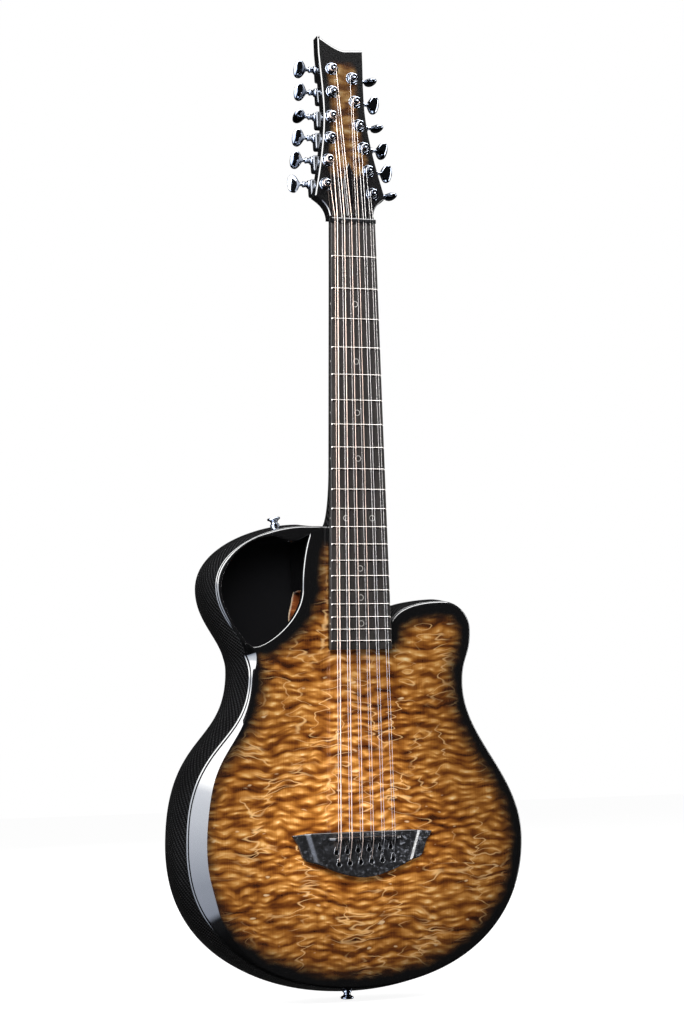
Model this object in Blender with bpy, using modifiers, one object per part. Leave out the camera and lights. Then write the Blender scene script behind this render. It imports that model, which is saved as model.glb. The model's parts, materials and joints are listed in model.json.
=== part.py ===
"""Twelve string carbon fibre acoustic guitar with one cutaway and a soundhole in the bass shoulder.

The guitar stands upright. X runs to the treble side, Y to the back and Z up the neck. The origin is
the centre of the tail strap button's outer face. Sizes are millimetres, turned to metres as meshes
are made. "Below the nut" means measured down the neck from the front edge of the nut.
"""

import math

import bmesh
import bpy
import numpy as np
from mathutils import Matrix, Vector

MM = 0.001
GAP = 0.3
CUT_REACH = 8.0
WELD = 0.00001

# Neck and fingerboard
SCALE_LENGTH = 648.0
FRET_COUNT = 20
NUT_WIDTH = 50.0
WIDTH_AT_LAST_FRET = 68.0
BOARD_THICKNESS = 6.0
BOARD_PAST_LAST_FRET = 8.6
FRET_HEIGHT = 1.1
FRET_BASE = 2.4
FRET_CROWN = 1.1
BOARD_RISE = 13.0
NECK_DEPTH_AT_NUT = 14.5
NECK_DEPTH_AT_HEEL = 17.5
HEEL_DEPTH = 66.0
HEEL_RUN = 58.0
RISER_INSET = 0.4
RISER_LEAD = 12.0
NECK_PAST_NUT = 13.0
NECK_DEPTH_IN_HEAD = 12.0
NECK_EVEN_TO = 60.0
NUT_LENGTH = 5.0
NUT_ABOVE_FRETS = 1.3
NUT_INSET = 0.4

# Body outline
TAIL_BELOW_NUT = 806.0
JOINT_BELOW_NUT = 322.0
LOWER_BOUT_HALF = 184.3
LOWER_BOUT_AT = 656.0
TREBLE_WAIST_HALF = 119.3
TREBLE_WAIST_AT = 490.0
HORN_HALF = 129.4
HORN_SIDE_AT = 433.0
HORN_TIP_OUT = 98.0
HORN_TIP_AT = 402.0
CUTAWAY_AT = 440.0
BASS_WAIST_HALF = 118.7
BASS_WAIST_AT = 472.0
BASS_BOUT_HALF = 154.1
BASS_BOUT_AT = 385.0
SHOULDER_OUT = 56.0
TONGUE_CORNER = 5.0
JOINT_INSET = 0.5
CUTAWAY_CLEARANCE = 3.0
SHOULDER_POINTS = 9
SHOULDER_SOFT = 0.5

# Body section
BODY_DEPTH_TAIL = 115.0
BODY_DEPTH_NECK = 88.0
SIDE_BULGE = 7.0
BACK_ROLL = 22.0
WALL = 2.4
EDGE_RADIUS = 3.2
ARM_BEVEL_WIDTH = 12.0
ARM_BEVEL_DROP = 16.0
BLOCK_BASS_SIDE = 47.0
BLOCK_LENGTH = 68.0
BLOCK_EDGE = 9.0

# Soundhole, as places on the top
HOLE_TOP = (-92.0, 333.0)
HOLE_SIDE = (-149.4, 389.0)
HOLE_FOOT = (-114.0, 448.0)
HOLE_THROAT = (-60.5, 388.0)
HOLE_TIP = (-51.5, 331.0)
HOLE_NECK = (-73.0, 338.5)

# Bridge
BRIDGE_THICKNESS = 9.0
BRIDGE_TIP_THICKNESS = 4.0
BRIDGE_HALF = 78.0
BRIDGE_FOOT_HALF = 66.0
BRIDGE_CREASE_TOP = 58.0
BRIDGE_CREASE_FOOT = 49.0
BRIDGE_ABOVE_SADDLE = 5.0
BRIDGE_TIP_FALL = 2.0
BRIDGE_END_DROP = 29.0
BRIDGE_BELLY_DROP = 47.5
BRIDGE_STEP = 4.0
SADDLE_LENGTH = 82.0
SADDLE_THICKNESS = 3.0
SADDLE_INSET = 5.0
SADDLE_END_HEIGHT = 1.5
UPPER_ROW = 14.2
LOWER_ROW = 26.6
ROW_SLANT = 3.4
PIN_HOLE_RADIUS = 2.5
KEYHOLE_REACH = 6.0
KEYHOLE_TIP_HALF = 0.9
KEYHOLE_SHOULDER = 40.0
KEYHOLE_SIDES = 6
STRING_IN_KEYHOLE = 2.6
PLATE_THICKNESS = 2.5
PLATE_HALF = 48.0
PLATE_ABOVE = 6.0
PLATE_BELOW = 36.0
BALL_RADIUS = 2.0
BALL_FLAT = 0.6
BALL_END = 0.35

# Strings: octave or unison string, then main string of each course, bass to treble
COURSES = ((0.69, 1.19), (0.46, 0.99), (0.32, 0.76), (0.30, 0.58), (0.36, 0.36), (0.30, 0.30))
COURSE_SPREAD_NUT = 40.2
COURSE_SPREAD_SADDLE = 60.4
PAIR_SPREAD_NUT = 2.7
PAIR_SPREAD_SADDLE = 2.7
STRING_OVER_FRETS_NUT = 0.5
STRING_OVER_FRETS_SADDLE = 3.6
COIL_TURNS = 1.75
COIL_STEPS = 9
COIL_PITCH_GAP = 0.55
COIL_START = 3.4
COIL_CLEARANCE = 0.35
STRING_TURN = 0.8
STRING_OVER_BRIDGE = 0.4
WOUND_FROM_RADIUS = 0.25

# Headstock
HEAD_TILT = 8.0
HEAD_THICKNESS = 14.5
HEAD_FACE_DROP = 4.5
HEAD_FLARE_HALF = 40.0
HEAD_FLARE_AT = 30.0
HEAD_WAIST_HALF = 23.7
HEAD_WAIST_AT = 134.0
HEAD_TOP_HALF = 25.7
HEAD_TOP_AT = 198.0
HEAD_HORN_RISE = 13.5
HEAD_CHAMFER = 1.2
POSTS_BASS = ((27.0, 42.7), (22.3, 69.9), (18.2, 95.4), (15.5, 119.8), (12.6, 147.7), (11.3, 173.8))
POSTS_TREBLE = ((25.1, 33.9), (22.3, 59.8), (18.9, 85.4), (15.0, 110.9), (12.7, 137.6), (11.3, 164.1))

# Tuner
POST_RADIUS = 3.0
POST_WAIST_RADIUS = 2.6
POST_ABOVE_FACE = 9.0
POST_HOLE_RADIUS = 0.9
POST_CAP = 2.0
POST_WAIST_LENGTH = 4.0
POST_WAIST_SLOPE = 0.6
POST_SIDES = 8
JOURNAL_SKIN = 1.0
JOURNAL_RADIUS = 1.5
GEAR_TEETH = 14
THREAD_PITCH = 1.7
TOOTH_HEIGHT = 0.35
TOOTH_GAP = 0.45
GEAR_THICKNESS = 4.0
WORM_RADIUS = 2.0
WORM_TURNS = 2
WORM_STEPS = 4
WORM_TIP_RADIUS = 1.3
WORM_RUN_OUT = 0.5
BORE_FACET_ROOM = 0.2
HOUSING_HEIGHT = 12.0
HOUSING_FLOOR = 2.7
HOUSING_INWARD = 7.5
HOUSING_OUTWARD = 11.5
HOUSING_DOWN = 7.5
HOUSING_UP = 11.0
HOUSING_SKIN = 1.5
SHAFT_RADIUS = 2.3
COLLAR_RADIUS = 3.3
COLLAR_AT = 17.0
COLLAR_LENGTH = 1.6
COLLAR_EDGE = 0.2
STALK_RADIUS = 1.9
BUTTON_AT = 29.0
BUTTON_HALF_LENGTH = 6.4
BUTTON_HALF_HEIGHT = 10.0
BUTTON_HALF_THICKNESS = 3.5
BUTTON_SIDES = 8

# Turns of the buttons' heads at rest, from the nut upward, in degrees from flat along the headstock
BUTTON_TURNS_BASS = (0.0, 35.0, 35.0, 65.0, 35.0, 35.0)
BUTTON_TURNS_TREBLE = (90.0, 28.0, 43.0, 90.0, 32.0, 90.0)

# Sections of a button's head: share of the way out, of its height and of its thickness
BUTTON_SECTIONS = ((-0.95, 0.26, 0.60), (-0.5, 0.66, 0.82), (0.05, 1.0, 1.0), (0.65, 0.93, 0.90),
                   (1.0, 0.55, 0.40))

# Truss rod and cover
ROD_RADIUS = 3.0
ROD_DEPTH = 5.6
ROD_NUT_RADIUS = 3.6
ROD_NUT_LENGTH = 10.0
ROD_NUT_PAST_NUT = 14.0
ROD_POCKET_MARGIN = 0.8
ROD_WRENCH_ROOM = 4.0
ROD_SIDES = 8
ROD_SHORT_OF_JOINT = 10.0
COVER_HALF = 7.5
COVER_START = 8.0
COVER_SHOULDER = 40.0
COVER_APEX = 68.0
COVER_THICKNESS = 2.0
COVER_CHAMFER = 0.5

# Strap buttons
STRAP_FLANGE_RADIUS = 7.0
STRAP_NECK_RADIUS = 3.6
STRAP_BASE_RADIUS = 5.0
STRAP_HEIGHT = 9.5
STRAP_FLANGE_EDGE = 2.4
STRAP_FLANGE_ROUND = 0.8
STRAP_BASE_LENGTH = 2.2
STRAP_SIDES = 12
STRAP_SHANK_RADIUS = 2.2
STRAP_SHANK_LENGTH = 12.0
TAIL_BUTTON_DEPTH = 54.0
SHOULDER_BUTTON_DEPTH = 36.0
SHOULDER_BUTTON_SHARE = 0.17

# Heights and planes that follow from the sizes above
TAIL_Z = STRAP_HEIGHT + GAP + SIDE_BULGE
NUT_Z = TAIL_Z + TAIL_BELOW_NUT
TOP_Y = -TAIL_BUTTON_DEPTH
FRET_Y = TOP_Y - BOARD_RISE
BOARD_Y = FRET_Y + FRET_HEIGHT
NECK_FACE_Y = BOARD_Y + BOARD_THICKNESS + GAP
HEAD_FACE_Y = FRET_Y + HEAD_FACE_DROP
BRIDGE_Y = TOP_Y - GAP - BRIDGE_THICKNESS
SADDLE_Z = NUT_Z - SCALE_LENGTH
ROD_START = NUT_Z - JOINT_BELOW_NUT + ROD_SHORT_OF_JOINT
GEAR_RADIUS = GEAR_TEETH * THREAD_PITCH / (2 * math.pi)
WORM_OFFSET = GEAR_RADIUS + TOOTH_GAP + WORM_RADIUS
BORE_RADIUS = WORM_RADIUS + TOOTH_HEIGHT + GAP + BORE_FACET_ROOM

# Colour, metallic and roughness of each finish
FINISHES = {
    "gloss_carbon": ((0.012, 0.012, 0.014), 0.0, 0.12),
    "figured_top": ((0.42, 0.20, 0.055), 0.0, 0.15),
    "dark_board": ((0.045, 0.038, 0.034), 0.0, 0.45),
    "forged_carbon": ((0.035, 0.036, 0.04), 0.2, 0.3),
    "dark_bone": ((0.03, 0.03, 0.035), 0.0, 0.35),
    "chrome": ((0.62, 0.63, 0.66), 1.0, 0.1),
    "cast_housing": ((0.5, 0.51, 0.54), 1.0, 0.2),
    "steel": ((0.45, 0.45, 0.46), 1.0, 0.35),
    "plain_wire": ((0.72, 0.71, 0.7), 1.0, 0.25),
    "bronze_wound": ((0.7, 0.45, 0.28), 1.0, 0.3),
    "plate_carbon": ((0.02, 0.02, 0.022), 0.0, 0.5),
}


def clear_scene():
    """Remove every object and collection that the file starts with."""
    for item in list(bpy.data.objects):
        bpy.data.objects.remove(item)
    for group in list(bpy.data.collections):
        bpy.data.collections.remove(group)


def make_collection(name):
    """Link and return a new collection."""
    group = bpy.data.collections.new(name)
    bpy.context.scene.collection.children.link(group)
    return group


def finish(name):
    """Return the material of one finish, made once."""
    if name in bpy.data.materials:
        return bpy.data.materials[name]
    colour, metallic, roughness = FINISHES[name]
    material = bpy.data.materials.new(name)
    material.use_nodes = True
    shader = material.node_tree.nodes["Principled BSDF"]
    shader.inputs["Base Color"].default_value = (*colour, 1.0)
    shader.inputs["Metallic"].default_value = metallic
    shader.inputs["Roughness"].default_value = roughness
    return material


def add_object(name, mesh, look=None, group=None, sharp=30.0):
    """Put a mesh in the scene as a sub-part, shaded smooth up to the sharp angle."""
    item = bpy.data.objects.new(name, mesh)
    (group or PARTS).objects.link(item)
    if look:
        mesh.materials.clear()
        mesh.materials.append(finish(look))
        mesh.shade_smooth()
        mesh.set_sharp_from_angle(angle=math.radians(sharp))
    return item


def add_cutter(name, mesh):
    """Put a mesh in the cutters' collection, hidden from renders."""
    item = add_object(name, mesh, group=CUTTERS)
    item.hide_render = True
    item.display_type = "WIRE"
    return item


def mesh_from_bmesh(name, bm):
    """Turn a bmesh in millimetres into a mesh in metres, its faces pointing out."""
    bmesh.ops.scale(bm, vec=(MM, MM, MM), verts=bm.verts)
    bmesh.ops.recalc_face_normals(bm, faces=bm.faces)
    mesh = bpy.data.meshes.new(name)
    bm.to_mesh(mesh)
    bm.free()
    return mesh


def lofted(name, rings, first_cap=True, last_cap=True):
    """Skin closed rings of points in order and close its ends where asked."""
    bm = bmesh.new()
    loops = [[bm.verts.new(point) for point in ring] for ring in rings]
    count = len(loops[0])
    for low, high in zip(loops, loops[1:]):
        for i in range(count):
            j = (i + 1) % count
            bm.faces.new((low[i], low[j], high[j], high[i]))
    if first_cap:
        bm.faces.new(loops[0])
    if last_cap:
        bm.faces.new(loops[-1])
    return mesh_from_bmesh(name, bm)


def flat_mesh(name, outlines, low, high):
    """Fill closed outlines of (x, y) points and extrude them between two levels of local Z."""
    curve = bpy.data.curves.new(name, "CURVE")
    curve.dimensions = "2D"
    curve.fill_mode = "BOTH"
    curve.extrude = (high - low) / 2 * MM
    for outline in outlines:
        spline = curve.splines.new("POLY")
        spline.use_cyclic_u = True
        spline.points.add(len(outline) - 1)
        for point, (x, y) in zip(spline.points, outline):
            point.co = (x * MM, y * MM, 0.0, 1.0)
    item = bpy.data.objects.new(name, curve)
    CUTTERS.objects.link(item)
    mesh = evaluated_mesh(item)
    bm = bmesh.new()
    bm.from_mesh(mesh)
    bmesh.ops.remove_doubles(bm, verts=bm.verts, dist=WELD)
    bmesh.ops.translate(bm, vec=(0.0, 0.0, (high + low) / 2 * MM), verts=bm.verts)
    bmesh.ops.recalc_face_normals(bm, faces=bm.faces)
    bm.to_mesh(mesh)
    bm.free()
    return mesh


def prism(name, outlines, y_front, y_back):
    """Extrude closed outlines of (x, z) points between two depths."""
    mesh = flat_mesh(name, outlines, -y_back, -y_front)
    mesh.transform(Matrix.Rotation(math.radians(90.0), 4, "X"))
    return mesh


def box(name, x_range, y_range, z_range):
    """Make a box from its limits on each axis."""
    bm = bmesh.new()
    bmesh.ops.create_cube(bm, size=1.0)
    spans = [high - low for low, high in (x_range, y_range, z_range)]
    middle = [(high + low) / 2 for low, high in (x_range, y_range, z_range)]
    bmesh.ops.scale(bm, vec=spans, verts=bm.verts)
    bmesh.ops.translate(bm, vec=middle, verts=bm.verts)
    return mesh_from_bmesh(name, bm)


def rod_mesh(name, radius, start, end, sides):
    """Make a cylinder along local Z between two heights."""
    bm = bmesh.new()
    middle = Matrix.Translation((0, 0, (start + end) / 2))
    bmesh.ops.create_cone(bm, cap_ends=True, segments=sides, radius1=radius, radius2=radius,
                          depth=end - start, matrix=middle)
    return mesh_from_bmesh(name, bm)


def boolean(item, operation, operand):
    """Add a Boolean modifier with the exact solver."""
    modifier = item.modifiers.new(operation.lower(), "BOOLEAN")
    modifier.operation = operation
    modifier.solver = "EXACT"
    modifier.object = operand


def solidify(item, thickness):
    """Give an open surface a wall on its inner side."""
    modifier = item.modifiers.new("wall", "SOLIDIFY")
    modifier.thickness = thickness * MM
    modifier.offset = -1.0


def chamfer(item, width, segments=1, angle=40.0):
    """Bevel the edges that are sharper than the angle."""
    modifier = item.modifiers.new("chamfer", "BEVEL")
    modifier.width = width * MM
    modifier.segments = segments
    modifier.limit_method = "ANGLE"
    modifier.angle_limit = math.radians(angle)


def evaluated_mesh(item):
    """Return an object's shape after its modifiers as a mesh, and remove the object."""
    bpy.context.view_layer.update()
    graph = bpy.context.evaluated_depsgraph_get()
    mesh = bpy.data.meshes.new_from_object(item.evaluated_get(graph))
    bpy.data.objects.remove(item)
    return mesh


def turned(name, profile, sides):
    """Turn a profile of (radius, height) points, top to bottom, into an object round local Z."""
    mesh = bpy.data.meshes.new(name)
    closed = [(0.0, profile[0][1])] + profile + [(0.0, profile[-1][1])]
    edges = [(i, i + 1) for i in range(len(closed) - 1)]
    mesh.from_pydata([(radius * MM, 0.0, height * MM) for radius, height in closed], edges, [])
    item = add_cutter(name, mesh)
    screw = item.modifiers.new("turn", "SCREW")
    screw.steps = sides
    screw.render_steps = sides
    screw.use_merge_vertices = True
    screw.merge_threshold = WELD
    return item


def bezier(start, leave, arrive, end, count):
    """Sample a cubic curve without its last point."""
    t = (np.arange(count) / count)[:, None]
    start, leave, arrive, end = (np.array(p, float) for p in (start, leave, arrive, end))
    return ((1 - t) ** 3 * start + 3 * (1 - t) ** 2 * t * leave
            + 3 * (1 - t) * t ** 2 * arrive + t ** 3 * end)


def stretch_points(start, leave, arrive, end, count):
    """Sample a stretch of the outline, given below the nut, as (x, z) points."""
    start, end = np.array(start, float), np.array(end, float)
    points = bezier(start, start + leave, end + arrive, end, count)
    points[:, 1] = NUT_Z - points[:, 1]
    return points


def below(distance):
    """Height of a place that is this far below the nut."""
    return NUT_Z - distance


def half_width(distance):
    """Half the fingerboard's width at a distance below the nut."""
    last_fret = fret_distance(FRET_COUNT)
    return (NUT_WIDTH + (WIDTH_AT_LAST_FRET - NUT_WIDTH) * distance / last_fret) / 2


def fret_distance(number):
    """Distance of a fret below the nut, in equal temperament."""
    return SCALE_LENGTH * (1 - 2 ** (-number / 12))


def smooth_step(low, high, value):
    """Rise from 0 to 1 between two values, level at both ends."""
    t = np.clip((value - low) / (high - low), 0, 1)
    return t * t * (3 - 2 * t)


def shoulder_stretch():
    """Return the start, both handles and the end of the outline's bass shoulder."""
    return (-SHOULDER_OUT, JOINT_BELOW_NUT), (-40, 0), (0, -40), (-BASS_BOUT_HALF, BASS_BOUT_AT)


def body_outline():
    """Return the body's front outline, its outward normals and how soft its sides are.

    Each stretch is a cubic curve between two places where the outline runs upright or level, given
    as start, its handle, the end's handle, end, points, and softness at both ends. Softness is 1
    where the side bulges and rolls fully, and 0 on the flat end that carries the neck.
    """
    tail, bout = (0, TAIL_BELOW_NUT), (LOWER_BOUT_HALF, LOWER_BOUT_AT)
    waist, horn_side = (TREBLE_WAIST_HALF, TREBLE_WAIST_AT), (HORN_HALF, HORN_SIDE_AT)
    horn_tip = (HORN_TIP_OUT, HORN_TIP_AT)
    side = half_width(JOINT_BELOW_NUT) - JOINT_INSET
    valley = (side + CUTAWAY_CLEARANCE, CUTAWAY_AT)
    edge = (side, JOINT_BELOW_NUT + TONGUE_CORNER)
    corner = (side - TONGUE_CORNER, JOINT_BELOW_NUT)
    joint = (-side, JOINT_BELOW_NUT)
    bass_waist, bass_low = (-BASS_WAIST_HALF, BASS_WAIST_AT), (-LOWER_BOUT_HALF, LOWER_BOUT_AT)
    stretches = (
        (tail, (103, 0), (0, 95), bout, 9, 1.0, 1.0),
        (bout, (0, -69), (0, 60), waist, 6, 1.0, 0.9),
        (waist, (0, -29), (0, 29), horn_side, 3, 0.9, 0.5),
        (horn_side, (0, -18), (16, 0), horn_tip, 4, 0.5, 0.45),
        (horn_tip, (-22, 0), (0, -34), valley, 6, 0.45, 0.1),
        (valley, (0, -20), (0, 20), edge, 3, 0.1, 0.0),
        (edge, (0, -3), (3, 0), corner, 2, 0.0, 0.0),
        (corner, (-9, 0), (9, 0), joint, 2, 0.0, 0.0),
        (joint, (-9, 0), (9, 0), (-SHOULDER_OUT, JOINT_BELOW_NUT), 2, 0.0, SHOULDER_SOFT),
        (*shoulder_stretch(), SHOULDER_POINTS, SHOULDER_SOFT, SHOULDER_SOFT),
        ((-BASS_BOUT_HALF, BASS_BOUT_AT), (0, 36), (0, -31), bass_waist, 6, SHOULDER_SOFT, 0.9),
        (bass_waist, (0, 85), (0, -120), bass_low, 8, 0.9, 1.0),
        (bass_low, (0, 100), (-103, 0), tail, 10, 1.0, 1.0),
    )
    points, soft = [], []
    for start, leave, arrive, end, count, soft_start, soft_end in stretches:
        points.append(stretch_points(start, leave, arrive, end, count))
        soft.append(soft_start + (soft_end - soft_start) * np.arange(count) / count)
    points, soft = np.vstack(points), np.concatenate(soft)
    along = np.roll(points, -1, axis=0) - np.roll(points, 1, axis=0)
    along /= np.linalg.norm(along, axis=1)[:, None]
    normals = np.column_stack((along[:, 1], -along[:, 0]))
    return points, normals, soft


def arm_weight(points):
    """Share of the arm bevel at each outline point: the bass side of the lower bout."""
    distance = NUT_Z - points[:, 1]
    rise = smooth_step(BASS_WAIST_AT + 20, LOWER_BOUT_AT - 30, distance)
    fall = 1 - smooth_step(LOWER_BOUT_AT + 40, TAIL_BELOW_NUT - 15, distance)
    return np.where(points[:, 0] < 0, rise * fall, 0.0)


def body_depth(z):
    """Depth of the body from the top's plane to the back's plane at a height."""
    share = (z - TAIL_Z) / (below(JOINT_BELOW_NUT) - TAIL_Z)
    return BODY_DEPTH_TAIL + (BODY_DEPTH_NECK - BODY_DEPTH_TAIL) * share


def body_ring(offset, rim_depth, share):
    """Return one ring of the sides: the outline moved out, at a share of the way to the back."""
    points, normals, _ = body_outline()
    moved = points + normals * np.broadcast_to(offset, len(points))[:, None]
    depth = rim_depth + share * (body_depth(moved[:, 1]) - rim_depth)
    return [(x, TOP_Y + d, z) for (x, z), d in zip(moved, depth)]


def make_back_shell():
    """Sides and back as one moulded shell, with the neck block moulded in its upper end."""
    points, _, soft = body_outline()
    drop = ARM_BEVEL_DROP * arm_weight(points) + EDGE_RADIUS + GAP
    bulge = SIDE_BULGE * soft
    roll = BACK_ROLL * (0.18 + 0.82 * soft)
    rings = [
        body_ring(0.0, drop, 0.0),
        body_ring(bulge, drop, 0.33),
        body_ring(bulge, drop, 0.62),
        body_ring(bulge * 0.6, drop, 0.80),
        body_ring(-roll * 0.22, drop, 0.925),
        body_ring(-roll * 0.58, drop, 0.985),
        body_ring(-roll, drop, 1.0),
    ]
    shell = add_object("back_shell", lofted("back_shell", rings, first_cap=False), "gloss_carbon")
    solidify(shell, WALL)
    joint_z = below(JOINT_BELOW_NUT)
    side = half_width(JOINT_BELOW_NUT) - JOINT_INSET
    back_y = TOP_Y + BODY_DEPTH_NECK - WALL / 2
    block = add_cutter("neck_block_form", box(
        "neck_block_form", (-BLOCK_BASS_SIDE, side - WALL / 2),
        (TOP_Y + WALL + 2 * GAP, back_y), (joint_z - BLOCK_LENGTH, joint_z - WALL / 2)))
    chamfer(block, BLOCK_EDGE, 2)
    boolean(shell, "UNION", block)
    boolean(shell, "DIFFERENCE", strap_hole("tail_strap_hole", *tail_button_place()))
    boolean(shell, "DIFFERENCE", strap_hole("shoulder_strap_hole", *shoulder_button_place()))
    return shell


def soundhole_outline():
    """Outline of the soundhole: a leaf with its tip beside the neck."""
    stretches = (
        (HOLE_TOP, (-30, 0), (0, -28), HOLE_SIDE, 7),
        (HOLE_SIDE, (0, 28), (-12, 0), HOLE_FOOT, 6),
        (HOLE_FOOT, (14, 0), (0, 32), HOLE_THROAT, 6),
        (HOLE_THROAT, (0, -20), (-5, 14), HOLE_TIP, 5),
        (HOLE_TIP, (-7, 4), (8, 1), HOLE_NECK, 3),
        (HOLE_NECK, (-6, -1), (6, 0), HOLE_TOP, 2),
    )
    return np.vstack([stretch_points(*stretch) for stretch in stretches])


def make_top_plate():
    """Flat top with rolled edges, an arm bevel, the soundhole and the string holes."""
    points, _, _ = body_outline()
    weight = arm_weight(points)
    drop = ARM_BEVEL_DROP * weight
    rings = [
        body_ring(0.0, drop + EDGE_RADIUS, 0.0),
        body_ring(0.0, drop + EDGE_RADIUS / 2, 0.0),
        body_ring(-EDGE_RADIUS - ARM_BEVEL_WIDTH * weight, 0.0, 0.0),
    ]
    skin = lofted("top_plate", rings, first_cap=False)
    top = add_object("top_plate", skin, "figured_top", sharp=25.0)
    solidify(top, WALL)
    reach = 4 * WALL
    leaf = prism("soundhole_form", [soundhole_outline()], TOP_Y - reach, TOP_Y + reach)
    hole = add_cutter("soundhole_form", leaf)
    boolean(top, "DIFFERENCE", hole)
    boolean(top, "DIFFERENCE", bpy.data.objects["keyhole_form"])
    return top


def string_places():
    """Yield number, radius, x at the nut, x at the saddle and hole distance of each string."""
    for course, diameters in enumerate(COURSES):
        share = course / (len(COURSES) - 1) - 0.5
        for place, diameter in enumerate(diameters):
            side = place - 0.5
            x_nut = COURSE_SPREAD_NUT * share + PAIR_SPREAD_NUT * side
            x_saddle = COURSE_SPREAD_SADDLE * share + PAIR_SPREAD_SADDLE * side
            row = (LOWER_ROW if place else UPPER_ROW) - ROW_SLANT * share
            yield 2 * course + place, diameter / 2, x_nut, x_saddle, row


def make_keyholes():
    """Cutter with the twelve keyholes of the bridge, top and plate, each a drop with its tip up."""
    outlines = []
    for _, _, _, x, row in string_places():
        middle = SADDLE_Z - row
        angles = np.radians(np.linspace(180 - KEYHOLE_SHOULDER, 360 + KEYHOLE_SHOULDER, KEYHOLE_SIDES))
        ring = [(x + PIN_HOLE_RADIUS * math.cos(a), middle + PIN_HOLE_RADIUS * math.sin(a)) for a in angles]
        ring.append((x + KEYHOLE_TIP_HALF, middle + KEYHOLE_REACH))
        ring.append((x - KEYHOLE_TIP_HALF, middle + KEYHOLE_REACH))
        outlines.append(ring)
    plate_back = TOP_Y + WALL + GAP + PLATE_THICKNESS
    form = prism("keyhole_form", outlines, BRIDGE_Y - CUT_REACH, plate_back + CUT_REACH)
    return add_cutter("keyhole_form", form)


def make_bridge():
    """Bridge with sloping wings, a saddle slot and the keyholes."""
    top_z = SADDLE_Z + BRIDGE_ABOVE_SADDLE
    end_z = top_z - BRIDGE_END_DROP
    belly_z = top_z - BRIDGE_BELLY_DROP
    step = (BRIDGE_CREASE_FOOT, end_z - BRIDGE_STEP)
    half = [(BRIDGE_CREASE_TOP, top_z), (BRIDGE_HALF, top_z - BRIDGE_TIP_FALL),
            (BRIDGE_HALF - 6.5, top_z - BRIDGE_TIP_FALL - 10.0), (BRIDGE_FOOT_HALF + 1.0, end_z + 4.0),
            (BRIDGE_FOOT_HALF - 3.0, end_z)]
    half += [tuple(p) for p in bezier(step, (step[0] - 14, step[1] - 7), (16, belly_z), (0, belly_z), 5)]
    outline = half + [(0.0, belly_z)] + [(-x, z) for x, z in reversed(half)]
    body = prism("bridge", [outline], BRIDGE_Y, TOP_Y - GAP)
    bridge = add_object("bridge", body, "forged_carbon")
    slope = (BRIDGE_THICKNESS - BRIDGE_TIP_THICKNESS) / (BRIDGE_HALF - BRIDGE_CREASE_FOOT)
    crease = np.array((BRIDGE_CREASE_TOP - BRIDGE_CREASE_FOOT, 0.0, BRIDGE_END_DROP))
    crease /= np.linalg.norm(crease)
    for side in (-1, 1):
        # the block's inner edge lies along the crease and its back face is the wing's sloping face
        outward = Vector((side * crease[2], slope, -crease[0])).normalized()
        back = Vector((side * crease[0], 0.0, crease[2])).cross(outward) * side
        turn = Matrix((outward, back, outward.cross(back))).transposed().to_4x4()
        place = Matrix.Translation(Vector((side * BRIDGE_CREASE_TOP, BRIDGE_Y, top_z)) * MM)
        block = box("wing_form", (0, 2 * BRIDGE_HALF), (-BRIDGE_HALF, 0), (-BRIDGE_HALF, BRIDGE_HALF))
        block.transform(place @ turn)
        boolean(bridge, "DIFFERENCE", add_cutter(f"wing_form_{side}", block))
    slot = add_cutter("saddle_slot_form", box(
        "saddle_slot_form", (-SADDLE_LENGTH / 2 - GAP, SADDLE_LENGTH / 2 + GAP),
        (BRIDGE_Y - CUT_REACH, BRIDGE_Y + SADDLE_INSET),
        (SADDLE_Z - SADDLE_THICKNESS - GAP, SADDLE_Z + GAP)))
    boolean(bridge, "DIFFERENCE", slot)
    boolean(bridge, "DIFFERENCE", bpy.data.objects["keyhole_form"])
    return bridge


def make_saddle():
    """Saddle standing in the bridge's slot, its crest under the strings."""
    crest = saddle_crest()
    low = BRIDGE_Y + SADDLE_INSET - GAP
    ends = BRIDGE_Y - SADDLE_END_HEIGHT
    half = SADDLE_LENGTH / 2
    flat = COURSE_SPREAD_SADDLE / 2 + PAIR_SPREAD_SADDLE + 1.0
    profile = [(-half, -low), (half, -low), (half, -ends), (flat, -crest), (-flat, -crest), (-half, -ends)]
    mesh = flat_mesh("saddle", [profile], SADDLE_Z - SADDLE_THICKNESS, SADDLE_Z)
    # the profile's second axis is turned to the front, and its third stays the height
    mesh.transform(Matrix.Scale(-1.0, 4, (0.0, 1.0, 0.0)))
    mesh.flip_normals()
    return add_object("saddle", mesh, "dark_bone")


def saddle_crest():
    """Depth of the saddle's crest."""
    return FRET_Y - STRING_OVER_FRETS_SADDLE + GAP


def make_bridge_plate():
    """Plate bonded under the top, which the string balls bear on."""
    y_front = TOP_Y + WALL + GAP
    plate = add_object("bridge_plate", box(
        "bridge_plate", (-PLATE_HALF, PLATE_HALF), (y_front, y_front + PLATE_THICKNESS),
        (SADDLE_Z - PLATE_BELOW, SADDLE_Z + PLATE_ABOVE)), "plate_carbon")
    boolean(plate, "DIFFERENCE", bpy.data.objects["keyhole_form"])
    return plate


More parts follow.
